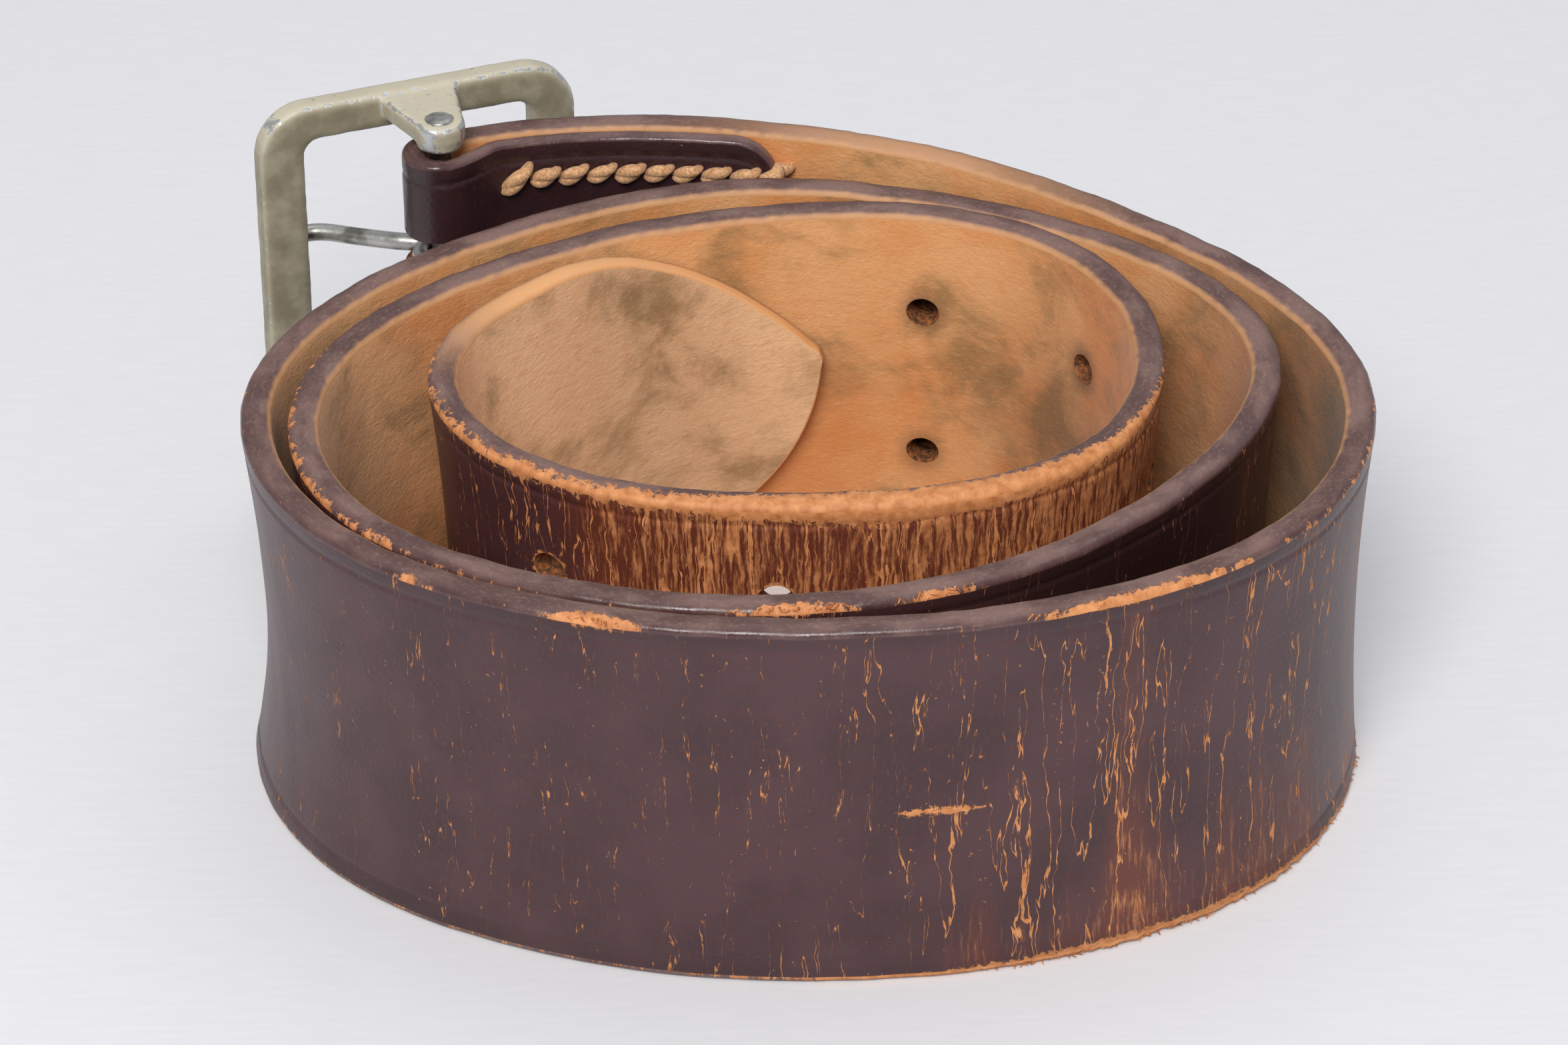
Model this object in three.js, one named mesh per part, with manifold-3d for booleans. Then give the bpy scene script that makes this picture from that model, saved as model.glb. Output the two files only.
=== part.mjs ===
// Leather belt, coiled and standing on its edge, with a two-prong centre-bar buckle.
//
// Millimetres, +Z up.  The strap's lower edge rests on z = 0.  The coil is described in plan by
// its own centre, and the finished group is moved so that the origin is the middle of its footprint.
//
// Pieces: the strap (one length of leather, folded round the buckle's bar and turned back as a
// flap), two seams that hold the flap, the cast buckle frame, its centre bar and two wire prongs.

import * as THREE from "three";
import { mergeVertices } from "three/addons/utils/BufferGeometryUtils.js";
import Module from "manifold-3d";

const wasm = await Module();
wasm.setup();

// ---------------------------------------------------------------- driving dimensions

const STRAP_WIDTH = 50;
const STRAP_THICKNESS = 3.7;
const STRAP_BOW = 1.2; // how far the middle of the width is pulled in where the strap is bent
const SPLAY = 2.2; // how far the lower edge is pushed out at the left of the outer turn
const SPLAY_ANGLE = 900;
const SPLAY_SPAN = 62; // degrees to either side
const BOW_RAMP = 60; // length over which the bow builds up at either end
const BOW_FREE = 35; // the doubled end next to the bar stays flat
const EDGE_ROUND = 1; // height of the rounded edge
const EDGE_FLAT = 0.55; // part of the thickness that is flat on the very edge
const COIL_STEP = 9; // degrees between stations of the coil

const TIP_LENGTH = 36; // pointed end, two arcs
const TIP_LIFT = 6; // the worn point curves upward
const TIP_BLUNT = 1.5; // half width left at the very point

const HOLE_DIAMETER = 3.4;
const HOLE_PAIRS = 7;
const FIRST_HOLE = 90.5; // from the point
const HOLE_PITCH = 27.8;
const ROW_OFFSET = 10.6; // hole rows above and below their own middle
const ROW_SHIFT = 0.6; // which was punched a little above the middle of the width

const FLAP_THICKNESS = 2.2; // the turned-back end is pared thinner
const FLAP_LENGTH = 45.5; // from the bar to its round end
const FLAP_CORNER = 6;
const FLAP_INSET = 0.4; // the flap's edges are trimmed a little inside the strap's
const FLAP_JOIN = 9; // from the bar to where the flap meets the strap
const SKIN_GAP = 0.3; // clearance between pieces that touch

const STITCHES = 10;
const STITCH_PITCH = 3.85;
const FIRST_STITCH = 8.5; // from the bar
const SEAM_OFFSET = 19.6; // seams above and below the middle of the width
const THREAD_RADIUS = 0.5;
const STITCH_HOLE_RADIUS = 1.05;

const BAR_RADIUS = 1.5;
const FRAME_WIDTH = 43.5;
const FRAME_HEIGHT = 60;
const FRAME_DEPTH = 3.6;
const SIDE_BAR = 6.2;
const TOP_BAR = 5;
const FRAME_CORNER = 7;
const WINDOW_CORNER = 2.2;
const FRAME_BEVEL = 0.7;
const FRAME_STANDOFF = 8; // from the bar's axis to the back face of the frame
const FRAME_LEAN = 1.6; // degrees, the bar's lean from upright

const LUG_ROOT = 11.2; // width at the frame
const LUG_TIP_RADIUS = 3.3;
const LUG_THICKNESS = 2.8;
const LUG_INSET = 0.6; // below the frame's outer edge
const BOSS_HEIGHT = 1;

const WIRE_RADIUS = 1.15;
const PRONG_TIP = 18.6; // from the bar to the tip, along the buckle
const PRONG_ROW = 10.8;
const PRONG_SLIDE = 1; // the loose eyes have slid down in their slots
const PRONG_DROOP = 1.2; // and the tips hang lower still

const SLOT_WIDTH = 5;
const SLOT_GRAIN = 9; // how far the slots run past the bar on the grain side
const SLOT_FLAP = 4;

const CUT_INWARD = 5; // reach of the hole cutters to either side of the strap's middle
const CUT_OUTWARD = 3.5;
const SLOT_REACH = 10; // how far the slot cutters run past the fold
const SLOT_DEPTH = 8; // and how far out on either side of the bar
const SLOT_SIDE = 0.5; // the cut through the flap starts this far past the bar's axis

const BUCKLE_RISE = 5.6; // how far the buckle lifts the end of the strap off the table

// Control radii of the coil, one every 30 degrees from 60, from the point outward.
const COIL_CONTROL_FIRST = 60;
const COIL_CONTROL_STEP = 30;
const COIL_CONTROL = [
  31, 29.5, 31, 34, 43, 39.5, 34, 31.5, 35.5, 44.5, 45, 45,
  39.5, 34, 35.5, 41, 57, 62, 55, 53, 53.5, 55, 62, 49,
  41.5, 42, 43, 49, 64, 66, 59, 57, 62, 73.5, 69.5, 53.5,
  49.5, 49, 57, 70.5, 93,
];
const TIP_ANGLE = 80;
const LIFT_SPAN = 60; // degrees over which the point comes down to the table
const BAR_ANGLE = 1215;
const RISE_ANGLE = 1080; // the end of the strap starts to lift here

const COLOURS = {
  leather: { color: 0x3a2226, roughness: 0.55, metalness: 0 },
  thread: { color: 0xc98a55, roughness: 0.85, metalness: 0 },
  frame: { color: 0x8b8372, roughness: 0.5, metalness: 0.4 },
  steel: { color: 0xb9bab8, roughness: 0.35, metalness: 1 },
};

// ---------------------------------------------------------------- small helpers

const radians = THREE.MathUtils.degToRad;
const smooth = (t) => THREE.MathUtils.smoothstep(t, 0, 1);

function toSolid(geometry) {
  const bare = geometry.clone();
  for (const name of Object.keys(bare.attributes)) {
    if (name !== "position") bare.deleteAttribute(name);
  }
  const merged = mergeVertices(bare, 1e-4);
  return new wasm.Manifold(new wasm.Mesh({
    numProp: 3,
    vertProperties: new Float32Array(merged.attributes.position.array),
    triVerts: new Uint32Array(merged.index.array),
  }));
}

function toGeometry(solid) {
  const mesh = solid.getMesh();
  const geometry = new THREE.BufferGeometry();
  geometry.setAttribute("position", new THREE.BufferAttribute(new Float32Array(mesh.vertProperties), 3));
  geometry.setIndex(new THREE.BufferAttribute(new Uint32Array(mesh.triVerts), 1));
  geometry.computeVertexNormals();
  return geometry;
}

function piece(name, geometry, finish) {
  const mesh = new THREE.Mesh(geometry, new THREE.MeshStandardMaterial(finish));
  mesh.name = name;
  return mesh;
}

// A rod between two points.
function rod(from, to, radius, sides) {
  const span = new THREE.Vector3().subVectors(to, from);
  const geometry = new THREE.CylinderGeometry(radius, radius, span.length(), sides);
  const turn = new THREE.Quaternion().setFromUnitVectors(new THREE.Vector3(0, 1, 0), span.clone().normalize());
  geometry.applyQuaternion(turn);
  const middle = new THREE.Vector3().addVectors(from, to).multiplyScalar(0.5);
  return geometry.translate(middle.x, middle.y, middle.z);
}

// ---------------------------------------------------------------- the strap's route in plan

// Radius of the coil at an angle: a uniform cubic B-spline over the control radii.
function coilRadius(angle) {
  const place = (angle - COIL_CONTROL_FIRST) / COIL_CONTROL_STEP;
  const i = Math.floor(place);
  const t = place - i;
  const weights = [
    (1 - t) ** 3,
    3 * t ** 3 - 6 * t ** 2 + 4,
    -3 * t ** 3 + 3 * t ** 2 + 3 * t + 1,
    t ** 3,
  ];
  const last = COIL_CONTROL.length - 1;
  return weights.reduce((sum, w, j) => {
    const k = THREE.MathUtils.clamp(i - 1 + j, 0, last);
    return sum + (w / 6) * COIL_CONTROL[k];
  }, 0);
}

// How far the strap is lifted at an angle: at its point, and where the taller buckle holds it up.
function coilRise(angle) {
  const t = THREE.MathUtils.clamp((angle - RISE_ANGLE) / (BAR_ANGLE - RISE_ANGLE), 0, 1);
  const u = THREE.MathUtils.clamp((angle - TIP_ANGLE) / LIFT_SPAN, 0, 1);
  return BUCKLE_RISE * t * t * (2.3 - 1.3 * t) + TIP_LIFT * (1 - u) ** 2;
}

function coilPoint(angle) {
  const a = radians(angle);
  const r = coilRadius(angle);
  return new THREE.Vector3(r * Math.cos(a), r * Math.sin(a), STRAP_WIDTH / 2 + coilRise(angle));
}

// A station has a place, a heading, an outward normal and an up direction.
function coilFrame(angle) {
  const along = coilPoint(angle + 0.1).sub(coilPoint(angle - 0.1)).normalize();
  const out = new THREE.Vector3(along.y, -along.x, 0).normalize();
  const up = new THREE.Vector3().crossVectors(out, along).normalize();
  return { at: coilPoint(angle), along, out, up };
}

// Angles along the coil with the distance from the point at each, for holes and the flap.
const SURVEY_STEP = 0.5;
const survey = [{ angle: TIP_ANGLE, distance: 0 }];
for (let angle = TIP_ANGLE + SURVEY_STEP; angle <= BAR_ANGLE; angle += SURVEY_STEP) {
  const before = survey[survey.length - 1];
  const stride = coilPoint(angle).distanceTo(coilPoint(before.angle));
  survey.push({ angle, distance: before.distance + stride });
}
const COIL_LENGTH = survey[survey.length - 1].distance;

function angleAt(distance) {
  return survey.find((s) => s.distance >= distance).angle;
}

// The buckle's own axes: the bar's middle is its origin, x runs back along the strap, y out
// through the grain side and z along the bar.
const barStation = coilFrame(BAR_ANGLE);
const buckleY = barStation.out.clone();
const level = barStation.along.clone().setZ(0).normalize().negate();
const lean = new THREE.Quaternion().setFromAxisAngle(buckleY, radians(FRAME_LEAN));
const buckleX = level.clone().applyQuaternion(lean);
const buckleZ = new THREE.Vector3().crossVectors(buckleX, buckleY);
const FOLD_RADIUS = BAR_RADIUS + SKIN_GAP;
const LEG_OFFSET = FOLD_RADIUS + STRAP_THICKNESS / 2; // the strap's middle beside the bar
const barMiddle = barStation.at.clone().addScaledVector(buckleY, -LEG_OFFSET);
const buckleMatrix = new THREE.Matrix4().makeBasis(buckleX, buckleY, buckleZ).setPosition(barMiddle);

// ---------------------------------------------------------------- strap

// Half the width of the strap at a distance from the point.
function halfWidthFromTip(distance) {
  const half = STRAP_WIDTH / 2;
  if (distance >= TIP_LENGTH) return half;
  const radius = (TIP_LENGTH ** 2 + half ** 2) / (2 * half);
  const run = TIP_LENGTH - distance;
  return Math.max(TIP_BLUNT, half - radius + Math.sqrt(radius ** 2 - run ** 2));
}

function halfWidthOfFlap(distance) {
  const half = STRAP_WIDTH / 2 - FLAP_INSET;
  const run = FLAP_LENGTH - distance;
  if (run >= FLAP_CORNER) return half;
  return half - FLAP_CORNER + Math.sqrt(FLAP_CORNER ** 2 - (FLAP_CORNER - run) ** 2);
}

function coilStations() {
  const stations = [];
  const distances = [0, 2, 5, 9, 14, 20, 27, TIP_LENGTH];
  const angles = distances.map(angleAt);
  const start = angles[angles.length - 1];
  const steps = Math.ceil((BAR_ANGLE - start) / COIL_STEP);
  for (let i = 1; i <= steps; i++) angles.push(start + ((BAR_ANGLE - start) * i) / steps);
  for (const angle of angles) {
    const distance = survey.find((s) => s.angle >= angle - 1e-6).distance;
    const toBar = COIL_LENGTH - distance;
    const bow = STRAP_BOW * smooth(distance / BOW_RAMP) * smooth((toBar - BOW_FREE) / BOW_RAMP);
    const half = halfWidthFromTip(distance);
    const splay = SPLAY * smooth(1 - Math.abs(angle - SPLAY_ANGLE) / SPLAY_SPAN);
    stations.push({ ...coilFrame(angle), half, bow, splay, thickness: STRAP_THICKNESS });
  }
  return stations;
}

// Round the bar, from the strap's leg to the flap's leg.
function foldStations() {
  const stations = [];
  const steps = 10;
  for (let i = 1; i <= steps; i++) {
    const turn = (i / steps) * Math.PI;
    const thickness = THREE.MathUtils.lerp(STRAP_THICKNESS, FLAP_THICKNESS, smooth(i / steps));
    const radius = FOLD_RADIUS + thickness / 2;
    const out = new THREE.Vector3(-Math.sin(turn), Math.cos(turn), 0);
    const at = out.clone().multiplyScalar(radius).applyMatrix4(buckleMatrix);
    out.transformDirection(buckleMatrix);
    stations.push({ at, out, up: buckleZ, half: STRAP_WIDTH / 2 - FLAP_INSET * (i / steps), bow: 0, splay: 0, thickness });
  }
  return stations;
}

// The flap lies on the flesh side of the strap, from the bar back towards the coil.
const FLAP_REST = STRAP_THICKNESS / 2 + SKIN_GAP + FLAP_THICKNESS / 2;
const FLAP_AT_BAR = LEG_OFFSET + FOLD_RADIUS + FLAP_THICKNESS / 2;

function flapPoint(distance) {
  const frame = coilFrame(angleAt(COIL_LENGTH - distance));
  const offset = THREE.MathUtils.lerp(FLAP_AT_BAR, FLAP_REST, smooth(distance / FLAP_JOIN));
  return { ...frame, at: frame.at.clone().addScaledVector(frame.out, -offset) };
}

function flapStations() {
  const distances = [2, 4, 6, 8, 11, 15, 20, 25, 30, 35, 39.5, 41.5, 43.5, 44.7, FLAP_LENGTH];
  return distances.map((distance) => {
    const { at } = flapPoint(distance);
    const along = flapPoint(distance + 0.6).at.sub(flapPoint(distance - 0.6).at).normalize();
    const up = coilFrame(angleAt(COIL_LENGTH - distance)).up;
    const out = new THREE.Vector3().crossVectors(along, up).normalize();
    return { at, out, up, half: halfWidthOfFlap(distance), bow: 0, splay: 0, thickness: FLAP_THICKNESS };
  });
}

// A box with one ring of vertices for each station, then every vertex is put in its place.
const ROWS = [-1, null, -0.5, 0, 0.5, null, 1]; // across the width, null is the foot of the rounding

function strapBody() {
  const stations = [...coilStations(), ...foldStations(), ...flapStations()];
  const segments = stations.length - 1;
  const box = new THREE.BoxGeometry(segments, 2, ROWS.length - 1, segments, 2, ROWS.length - 1);
  const position = box.attributes.position;
  const vertex = new THREE.Vector3();
  for (let i = 0; i < position.count; i++) {
    vertex.fromBufferAttribute(position, i);
    const station = stations[Math.round(vertex.x + segments / 2)];
    const row = Math.round(vertex.z + (ROWS.length - 1) / 2);
    const onEdge = row === 0 || row === ROWS.length - 1;
    const shoulder = 1 - Math.min(EDGE_ROUND / station.half, 0.4);
    const across = ROWS[row] === null ? Math.sign(row - 3) * shoulder : ROWS[row];
    const flat = onEdge ? EDGE_FLAT : 1;
    const foot = station.splay * Math.min(across, 0) ** 2;
    const depth = -vertex.y * (station.thickness / 2) * flat - station.bow * (1 - across ** 2) + foot;
    vertex.copy(station.at);
    vertex.addScaledVector(station.out, depth);
    vertex.addScaledVector(station.up, across * station.half);
    position.setXYZ(i, vertex.x, vertex.y, vertex.z);
  }
  return toSolid(box);
}

function holeCutters() {
  const cutters = [];
  for (let pair = 0; pair < HOLE_PAIRS; pair++) {
    const frame = coilFrame(angleAt(FIRST_HOLE + pair * HOLE_PITCH));
    for (const side of [-1, 1]) {
      const middle = frame.at.clone().addScaledVector(frame.up, side * ROW_OFFSET + ROW_SHIFT);
      const from = middle.clone().addScaledVector(frame.out, -CUT_INWARD);
      const to = middle.clone().addScaledVector(frame.out, CUT_OUTWARD);
      cutters.push(toSolid(rod(from, to, HOLE_DIAMETER / 2, 10)));
    }
  }
  return cutters;
}

// The prong slots run round the fold and end round on both legs.
function slotCutters() {
  const cutters = [];
  for (const side of [-1, 1]) {
    const z = side * PRONG_ROW - PRONG_SLIDE + SLOT_WIDTH / 2 - WIRE_RADIUS - SKIN_GAP;
    for (const [leg, past] of [[1, SLOT_GRAIN], [-1, SLOT_FLAP]]) {
      const y = leg * (SLOT_DEPTH / 2) + (leg < 0 ? SLOT_SIDE : 0);
      const cut = new THREE.BoxGeometry(past + SLOT_REACH, SLOT_DEPTH, SLOT_WIDTH);
      const end = new THREE.CylinderGeometry(SLOT_WIDTH / 2, SLOT_WIDTH / 2, SLOT_DEPTH - 1, 12);
      cutters.push(toSolid(cut.translate((past - SLOT_REACH) / 2, y, z).applyMatrix4(buckleMatrix)));
      cutters.push(toSolid(end.translate(past, y + leg * 0.4, z).applyMatrix4(buckleMatrix)));
    }
  }
  return cutters;
}

// ---------------------------------------------------------------- seams

// Both faces of the doubled leather at one stitch hole; the last hole is just past the flap's end.
function stitchPlace(index, side) {
  const distance = FIRST_STITCH + index * STITCH_PITCH;
  const strap = coilFrame(angleAt(COIL_LENGTH - distance));
  const flap = flapPoint(distance);
  const lift = SKIN_GAP + THREAD_RADIUS;
  const raise = (base, depth) => base.at.clone()
    .addScaledVector(strap.up, side * SEAM_OFFSET).addScaledVector(strap.out, depth);
  return {
    front: raise(strap, STRAP_THICKNESS / 2 + lift),
    back: raise(flap, -FLAP_THICKNESS / 2 - lift),
  };
}

function stitchHoles(side) {
  const holes = [];
  for (let i = 0; i <= STITCHES; i++) {
    const { front, back } = stitchPlace(i, side);
    holes.push(toSolid(rod(front, back, STITCH_HOLE_RADIUS, 8)));
  }
  return holes;
}

// One thread in a running stitch: along the front of one interval, down a hole, along the back
// of the next.  A box with one ring of vertices for each corner of the thread is put in place.
function seam(name, side) {
  const corners = [];
  for (let i = 0; i <= STITCHES; i++) {
    const { front, back } = stitchPlace(i, side);
    corners.push(...(i % 2 === 0 ? [back, front] : [front, back]));
  }
  const segments = corners.length - 1;
  const up = coilFrame(angleAt(COIL_LENGTH - FIRST_STITCH)).up;
  const box = new THREE.BoxGeometry(segments, 2, 2, segments, 1, 1);
  const position = box.attributes.position;
  const vertex = new THREE.Vector3();
  for (let i = 0; i < position.count; i++) {
    vertex.fromBufferAttribute(position, i);
    const k = Math.round(vertex.x + segments / 2);
    const here = corners[k];
    const before = new THREE.Vector3().subVectors(here, corners[Math.max(k - 1, 0)]).normalize();
    const after = new THREE.Vector3().subVectors(corners[Math.min(k + 1, segments)], here).normalize();
    const heading = new THREE.Vector3().addVectors(before, after).normalize();
    const across = new THREE.Vector3().crossVectors(up, heading).normalize();
    const leg = k === segments ? before : after;
    const mitre = 1 / heading.dot(leg);
    const y = vertex.y * THREAD_RADIUS * mitre;
    const z = vertex.z * THREAD_RADIUS;
    vertex.copy(here).addScaledVector(across, y).addScaledVector(up, z);
    position.setXYZ(i, vertex.x, vertex.y, vertex.z);
  }
  return piece(name, toGeometry(toSolid(box)), COLOURS.thread);
}

function strap() {
  const cutters = [...holeCutters(), ...slotCutters(), ...stitchHoles(1), ...stitchHoles(-1)];
  const cut = cutters.reduce((body, cutter) => body.subtract(cutter), strapBody());
  return piece("strap", toGeometry(cut), COLOURS.leather);
}

// ---------------------------------------------------------------- buckle, in its own axes

function roundedRectangle(Kind, width, height, radius) {
  const x = width / 2;
  const y = height / 2;
  const outline = new Kind();
  outline.moveTo(x - radius, -y);
  outline.absarc(x - radius, -y + radius, radius, -Math.PI / 2, 0);
  outline.absarc(x - radius, y - radius, radius, 0, Math.PI / 2);
  outline.absarc(-x + radius, y - radius, radius, Math.PI / 2, Math.PI);
  outline.absarc(-x + radius, -y + radius, radius, Math.PI, 1.5 * Math.PI);
  return outline;
}

// The frame is drawn flat (x across, y up) and stood up behind the bar.
function frameRing() {
  const b = FRAME_BEVEL;
  const outline = roundedRectangle(THREE.Shape, FRAME_WIDTH - 2 * b, FRAME_HEIGHT - 2 * b, FRAME_CORNER - b);
  const windowWidth = FRAME_WIDTH - 2 * SIDE_BAR + 2 * b;
  const windowHeight = FRAME_HEIGHT - 2 * TOP_BAR + 2 * b;
  outline.holes.push(roundedRectangle(THREE.Path, windowWidth, windowHeight, WINDOW_CORNER + b));
  const ring = new THREE.ExtrudeGeometry(outline, {
    depth: FRAME_DEPTH - 2 * b,
    bevelThickness: b,
    bevelSize: b,
    bevelSegments: 1,
    curveSegments: 4,
  });
  ring.rotateX(Math.PI / 2);
  return toSolid(ring.translate(0, FRAME_STANDOFF + FRAME_DEPTH - b, 0));
}

// A lug reaches from the frame to the bar, and a short boss on its inner face carries the bar.
function lug(side) {
  const reach = FRAME_STANDOFF + 1.5;
  const outline = new THREE.Shape();
  outline.moveTo(-LUG_ROOT / 2, reach);
  outline.lineTo(-LUG_TIP_RADIUS, 0);
  outline.absarc(0, 0, LUG_TIP_RADIUS, Math.PI, 2 * Math.PI);
  outline.lineTo(LUG_ROOT / 2, reach);
  outline.closePath();
  const plate = new THREE.ExtrudeGeometry(outline, {
    depth: LUG_THICKNESS,
    bevelEnabled: false,
    curveSegments: 8,
  });
  const outer = FRAME_HEIGHT / 2 - LUG_INSET;
  const low = side > 0 ? outer - LUG_THICKNESS : -outer;
  plate.translate(0, 0, low);
  const boss = new THREE.CylinderGeometry(LUG_TIP_RADIUS - 0.3, LUG_TIP_RADIUS - 0.3, BOSS_HEIGHT + 1, 14);
  boss.rotateX(Math.PI / 2);
  boss.translate(0, 0, side * (outer - LUG_THICKNESS - BOSS_HEIGHT / 2 + 0.5));
  return toSolid(plate).add(toSolid(boss));
}

function buckleFrame() {
  const bore = new THREE.CylinderGeometry(FOLD_RADIUS, FOLD_RADIUS, FRAME_HEIGHT, 12);
  bore.rotateX(Math.PI / 2);
  const body = frameRing().add(lug(1)).add(lug(-1)).subtract(toSolid(bore));
  return piece("buckle_frame", toGeometry(body), COLOURS.frame);
}

function centreBar() {
  const length = FRAME_HEIGHT - 2 * LUG_INSET;
  const bar = new THREE.CylinderGeometry(BAR_RADIUS, BAR_RADIUS, length, 12);
  bar.rotateX(Math.PI / 2);
  return piece("center_bar", bar, COLOURS.steel);
}

// An eye round the bar and a shank that passes over the front of the side bar.
function prong(name, z) {
  const eyeRadius = FOLD_RADIUS + WIRE_RADIUS;
  const section = new THREE.Path().absarc(eyeRadius, 0, WIRE_RADIUS, 0, 2 * Math.PI);
  const eye = new THREE.LatheGeometry(section.getPoints(4), 16);
  eye.rotateX(Math.PI / 2);
  const rest = FRAME_STANDOFF + FRAME_DEPTH + SKIN_GAP + WIRE_RADIUS;
  const path = new THREE.CatmullRomCurve3([
    new THREE.Vector3(0, eyeRadius, 0),
    new THREE.Vector3(-4, 5.2, -0.2),
    new THREE.Vector3(-8.5, 9.4, -0.6 * PRONG_DROOP),
    new THREE.Vector3(-12, rest - 0.5, -0.8 * PRONG_DROOP),
    new THREE.Vector3(-14.5, rest + 0.4, -0.9 * PRONG_DROOP),
    new THREE.Vector3(-PRONG_TIP, rest, -PRONG_DROOP),
  ]);
  const round = new THREE.Shape().absarc(0, 0, WIRE_RADIUS, 0, 2 * Math.PI);
  const shank = new THREE.ExtrudeGeometry(round, { steps: 12, curveSegments: 4, extrudePath: path });
  const tip = new THREE.SphereGeometry(WIRE_RADIUS * 1.01, 8, 6).translate(-PRONG_TIP, rest, -PRONG_DROOP);
  const body = toSolid(eye).add(toSolid(shank)).add(toSolid(tip));
  const mesh = piece(name, toGeometry(body), COLOURS.steel);
  mesh.position.z = z;
  return mesh;
}

// ---------------------------------------------------------------- the belt

const belt = new THREE.Group();
belt.add(strap(), seam("seam_upper", 1), seam("seam_lower", -1));

const buckle = new THREE.Group();
buckle.add(buckleFrame(), centreBar());
buckle.add(prong("prong_upper", PRONG_ROW - PRONG_SLIDE), prong("prong_lower", -PRONG_ROW - PRONG_SLIDE));
buckle.applyMatrix4(buckleMatrix);
belt.add(buckle);

// The origin is the middle of the footprint.
belt.updateMatrixWorld(true);
const box = new THREE.Box3().setFromObject(belt, true);
const middle = box.getCenter(new THREE.Vector3());
belt.position.set(-middle.x, -middle.y, -box.min.z);

export default belt;
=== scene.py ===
import math

import bmesh
import bpy
import numpy as np
from mathutils import Matrix, Vector


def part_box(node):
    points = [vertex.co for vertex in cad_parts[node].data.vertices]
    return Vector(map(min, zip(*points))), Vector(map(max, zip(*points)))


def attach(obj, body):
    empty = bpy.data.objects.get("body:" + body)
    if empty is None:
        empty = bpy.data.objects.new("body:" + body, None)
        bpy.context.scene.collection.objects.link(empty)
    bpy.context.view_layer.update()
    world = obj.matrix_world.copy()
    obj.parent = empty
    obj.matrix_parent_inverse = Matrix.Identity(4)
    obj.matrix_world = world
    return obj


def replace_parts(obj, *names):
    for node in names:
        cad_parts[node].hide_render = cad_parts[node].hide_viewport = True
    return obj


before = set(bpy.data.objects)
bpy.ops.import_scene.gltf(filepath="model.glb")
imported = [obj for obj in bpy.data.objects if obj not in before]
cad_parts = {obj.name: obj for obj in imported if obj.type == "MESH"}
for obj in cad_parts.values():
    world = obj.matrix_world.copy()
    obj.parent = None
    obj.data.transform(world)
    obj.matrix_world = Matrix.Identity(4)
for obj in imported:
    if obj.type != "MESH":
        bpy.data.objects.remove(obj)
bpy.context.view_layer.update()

bl_info = {
    "name": "Coiled Leather Belt",
    "version": (1, 0, 0),
    "blender": (4, 5, 0),
    "location": "View3D > Sidebar > Belt",
    "description": "Surface, seams, buckle and stage of a worn leather belt coiled on its edge",
    "category": "Object",
}

MM = 0.001

# ---------------------------------------------------------------- the strap's route, in mm

WIDTH = 50.0
THICKNESS = 3.7
BOW = 1.2
BOW_RAMP = 60.0
BOW_FREE = 35.0
SPLAY = 2.2
SPLAY_ANGLE = 900.0
SPLAY_SPAN = 62.0
TIP_LENGTH = 36.0
TIP_LIFT = 6.0
TIP_ANGLE = 80.0
LIFT_SPAN = 60.0
BAR_ANGLE = 1215.0
RISE_ANGLE = 1080.0
BUCKLE_RISE = 5.6
CONTROL_FIRST = 60.0
CONTROL_STEP = 30.0
CONTROL = np.array([
    31, 29.5, 31, 34, 43, 39.5, 34, 31.5, 35.5, 44.5, 45, 45,
    39.5, 34, 35.5, 41, 57, 62, 55, 53, 53.5, 55, 62, 49,
    41.5, 42, 43, 49, 64, 66, 59, 57, 62, 73.5, 69.5, 53.5,
    49.5, 49, 57, 70.5, 93,
])

HOLE_RADIUS = 1.7
HOLE_PAIRS = 7
FIRST_HOLE = 90.5
HOLE_PITCH = 27.8
ROW_OFFSET = 10.6
ROW_SHIFT = 0.6

FLAP_THICKNESS = 2.2
FLAP_LENGTH = 45.5
FLAP_CORNER = 6.0
FLAP_INSET = 0.4
FLAP_JOIN = 9.0
SKIN_GAP = 0.3

STITCHES = 10
STITCH_PITCH = 3.85
FIRST_STITCH = 8.5
SEAM_OFFSET = 19.6

BAR_RADIUS = 1.5
FRAME_WIDTH = 43.5
FRAME_HEIGHT = 60.0
FRAME_DEPTH = 3.6
SIDE_BAR = 6.2
TOP_BAR = 5.0
FRAME_CORNER = 7.0
WINDOW_CORNER = 2.2
FRAME_STANDOFF = 8.0
FRAME_LEAN = 1.6
LUG_ROOT = 11.2
LUG_TIP_RADIUS = 3.3
LUG_THICKNESS = 2.8
LUG_INSET = 0.6
BOSS_HEIGHT = 1.0
WIRE_RADIUS = 1.15
PRONG_TIP = 18.6
PRONG_ROW = 10.8
PRONG_SLIDE = 1.0
PRONG_DROOP = 1.2
SLOT_WIDTH = 5.0
SLOT_GRAIN = 9.0
SLOT_FLAP = 4.0
FOLD_RADIUS = BAR_RADIUS + SKIN_GAP


def smooth(t):
    t = np.clip(t, 0.0, 1.0)
    return t * t * (3.0 - 2.0 * t)


def bump(x, middle, reach):
    """One at the middle, falling smoothly to nothing at the reach on either side."""
    return smooth(1.0 - np.abs(np.asarray(x, float) - middle) / reach)


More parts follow.
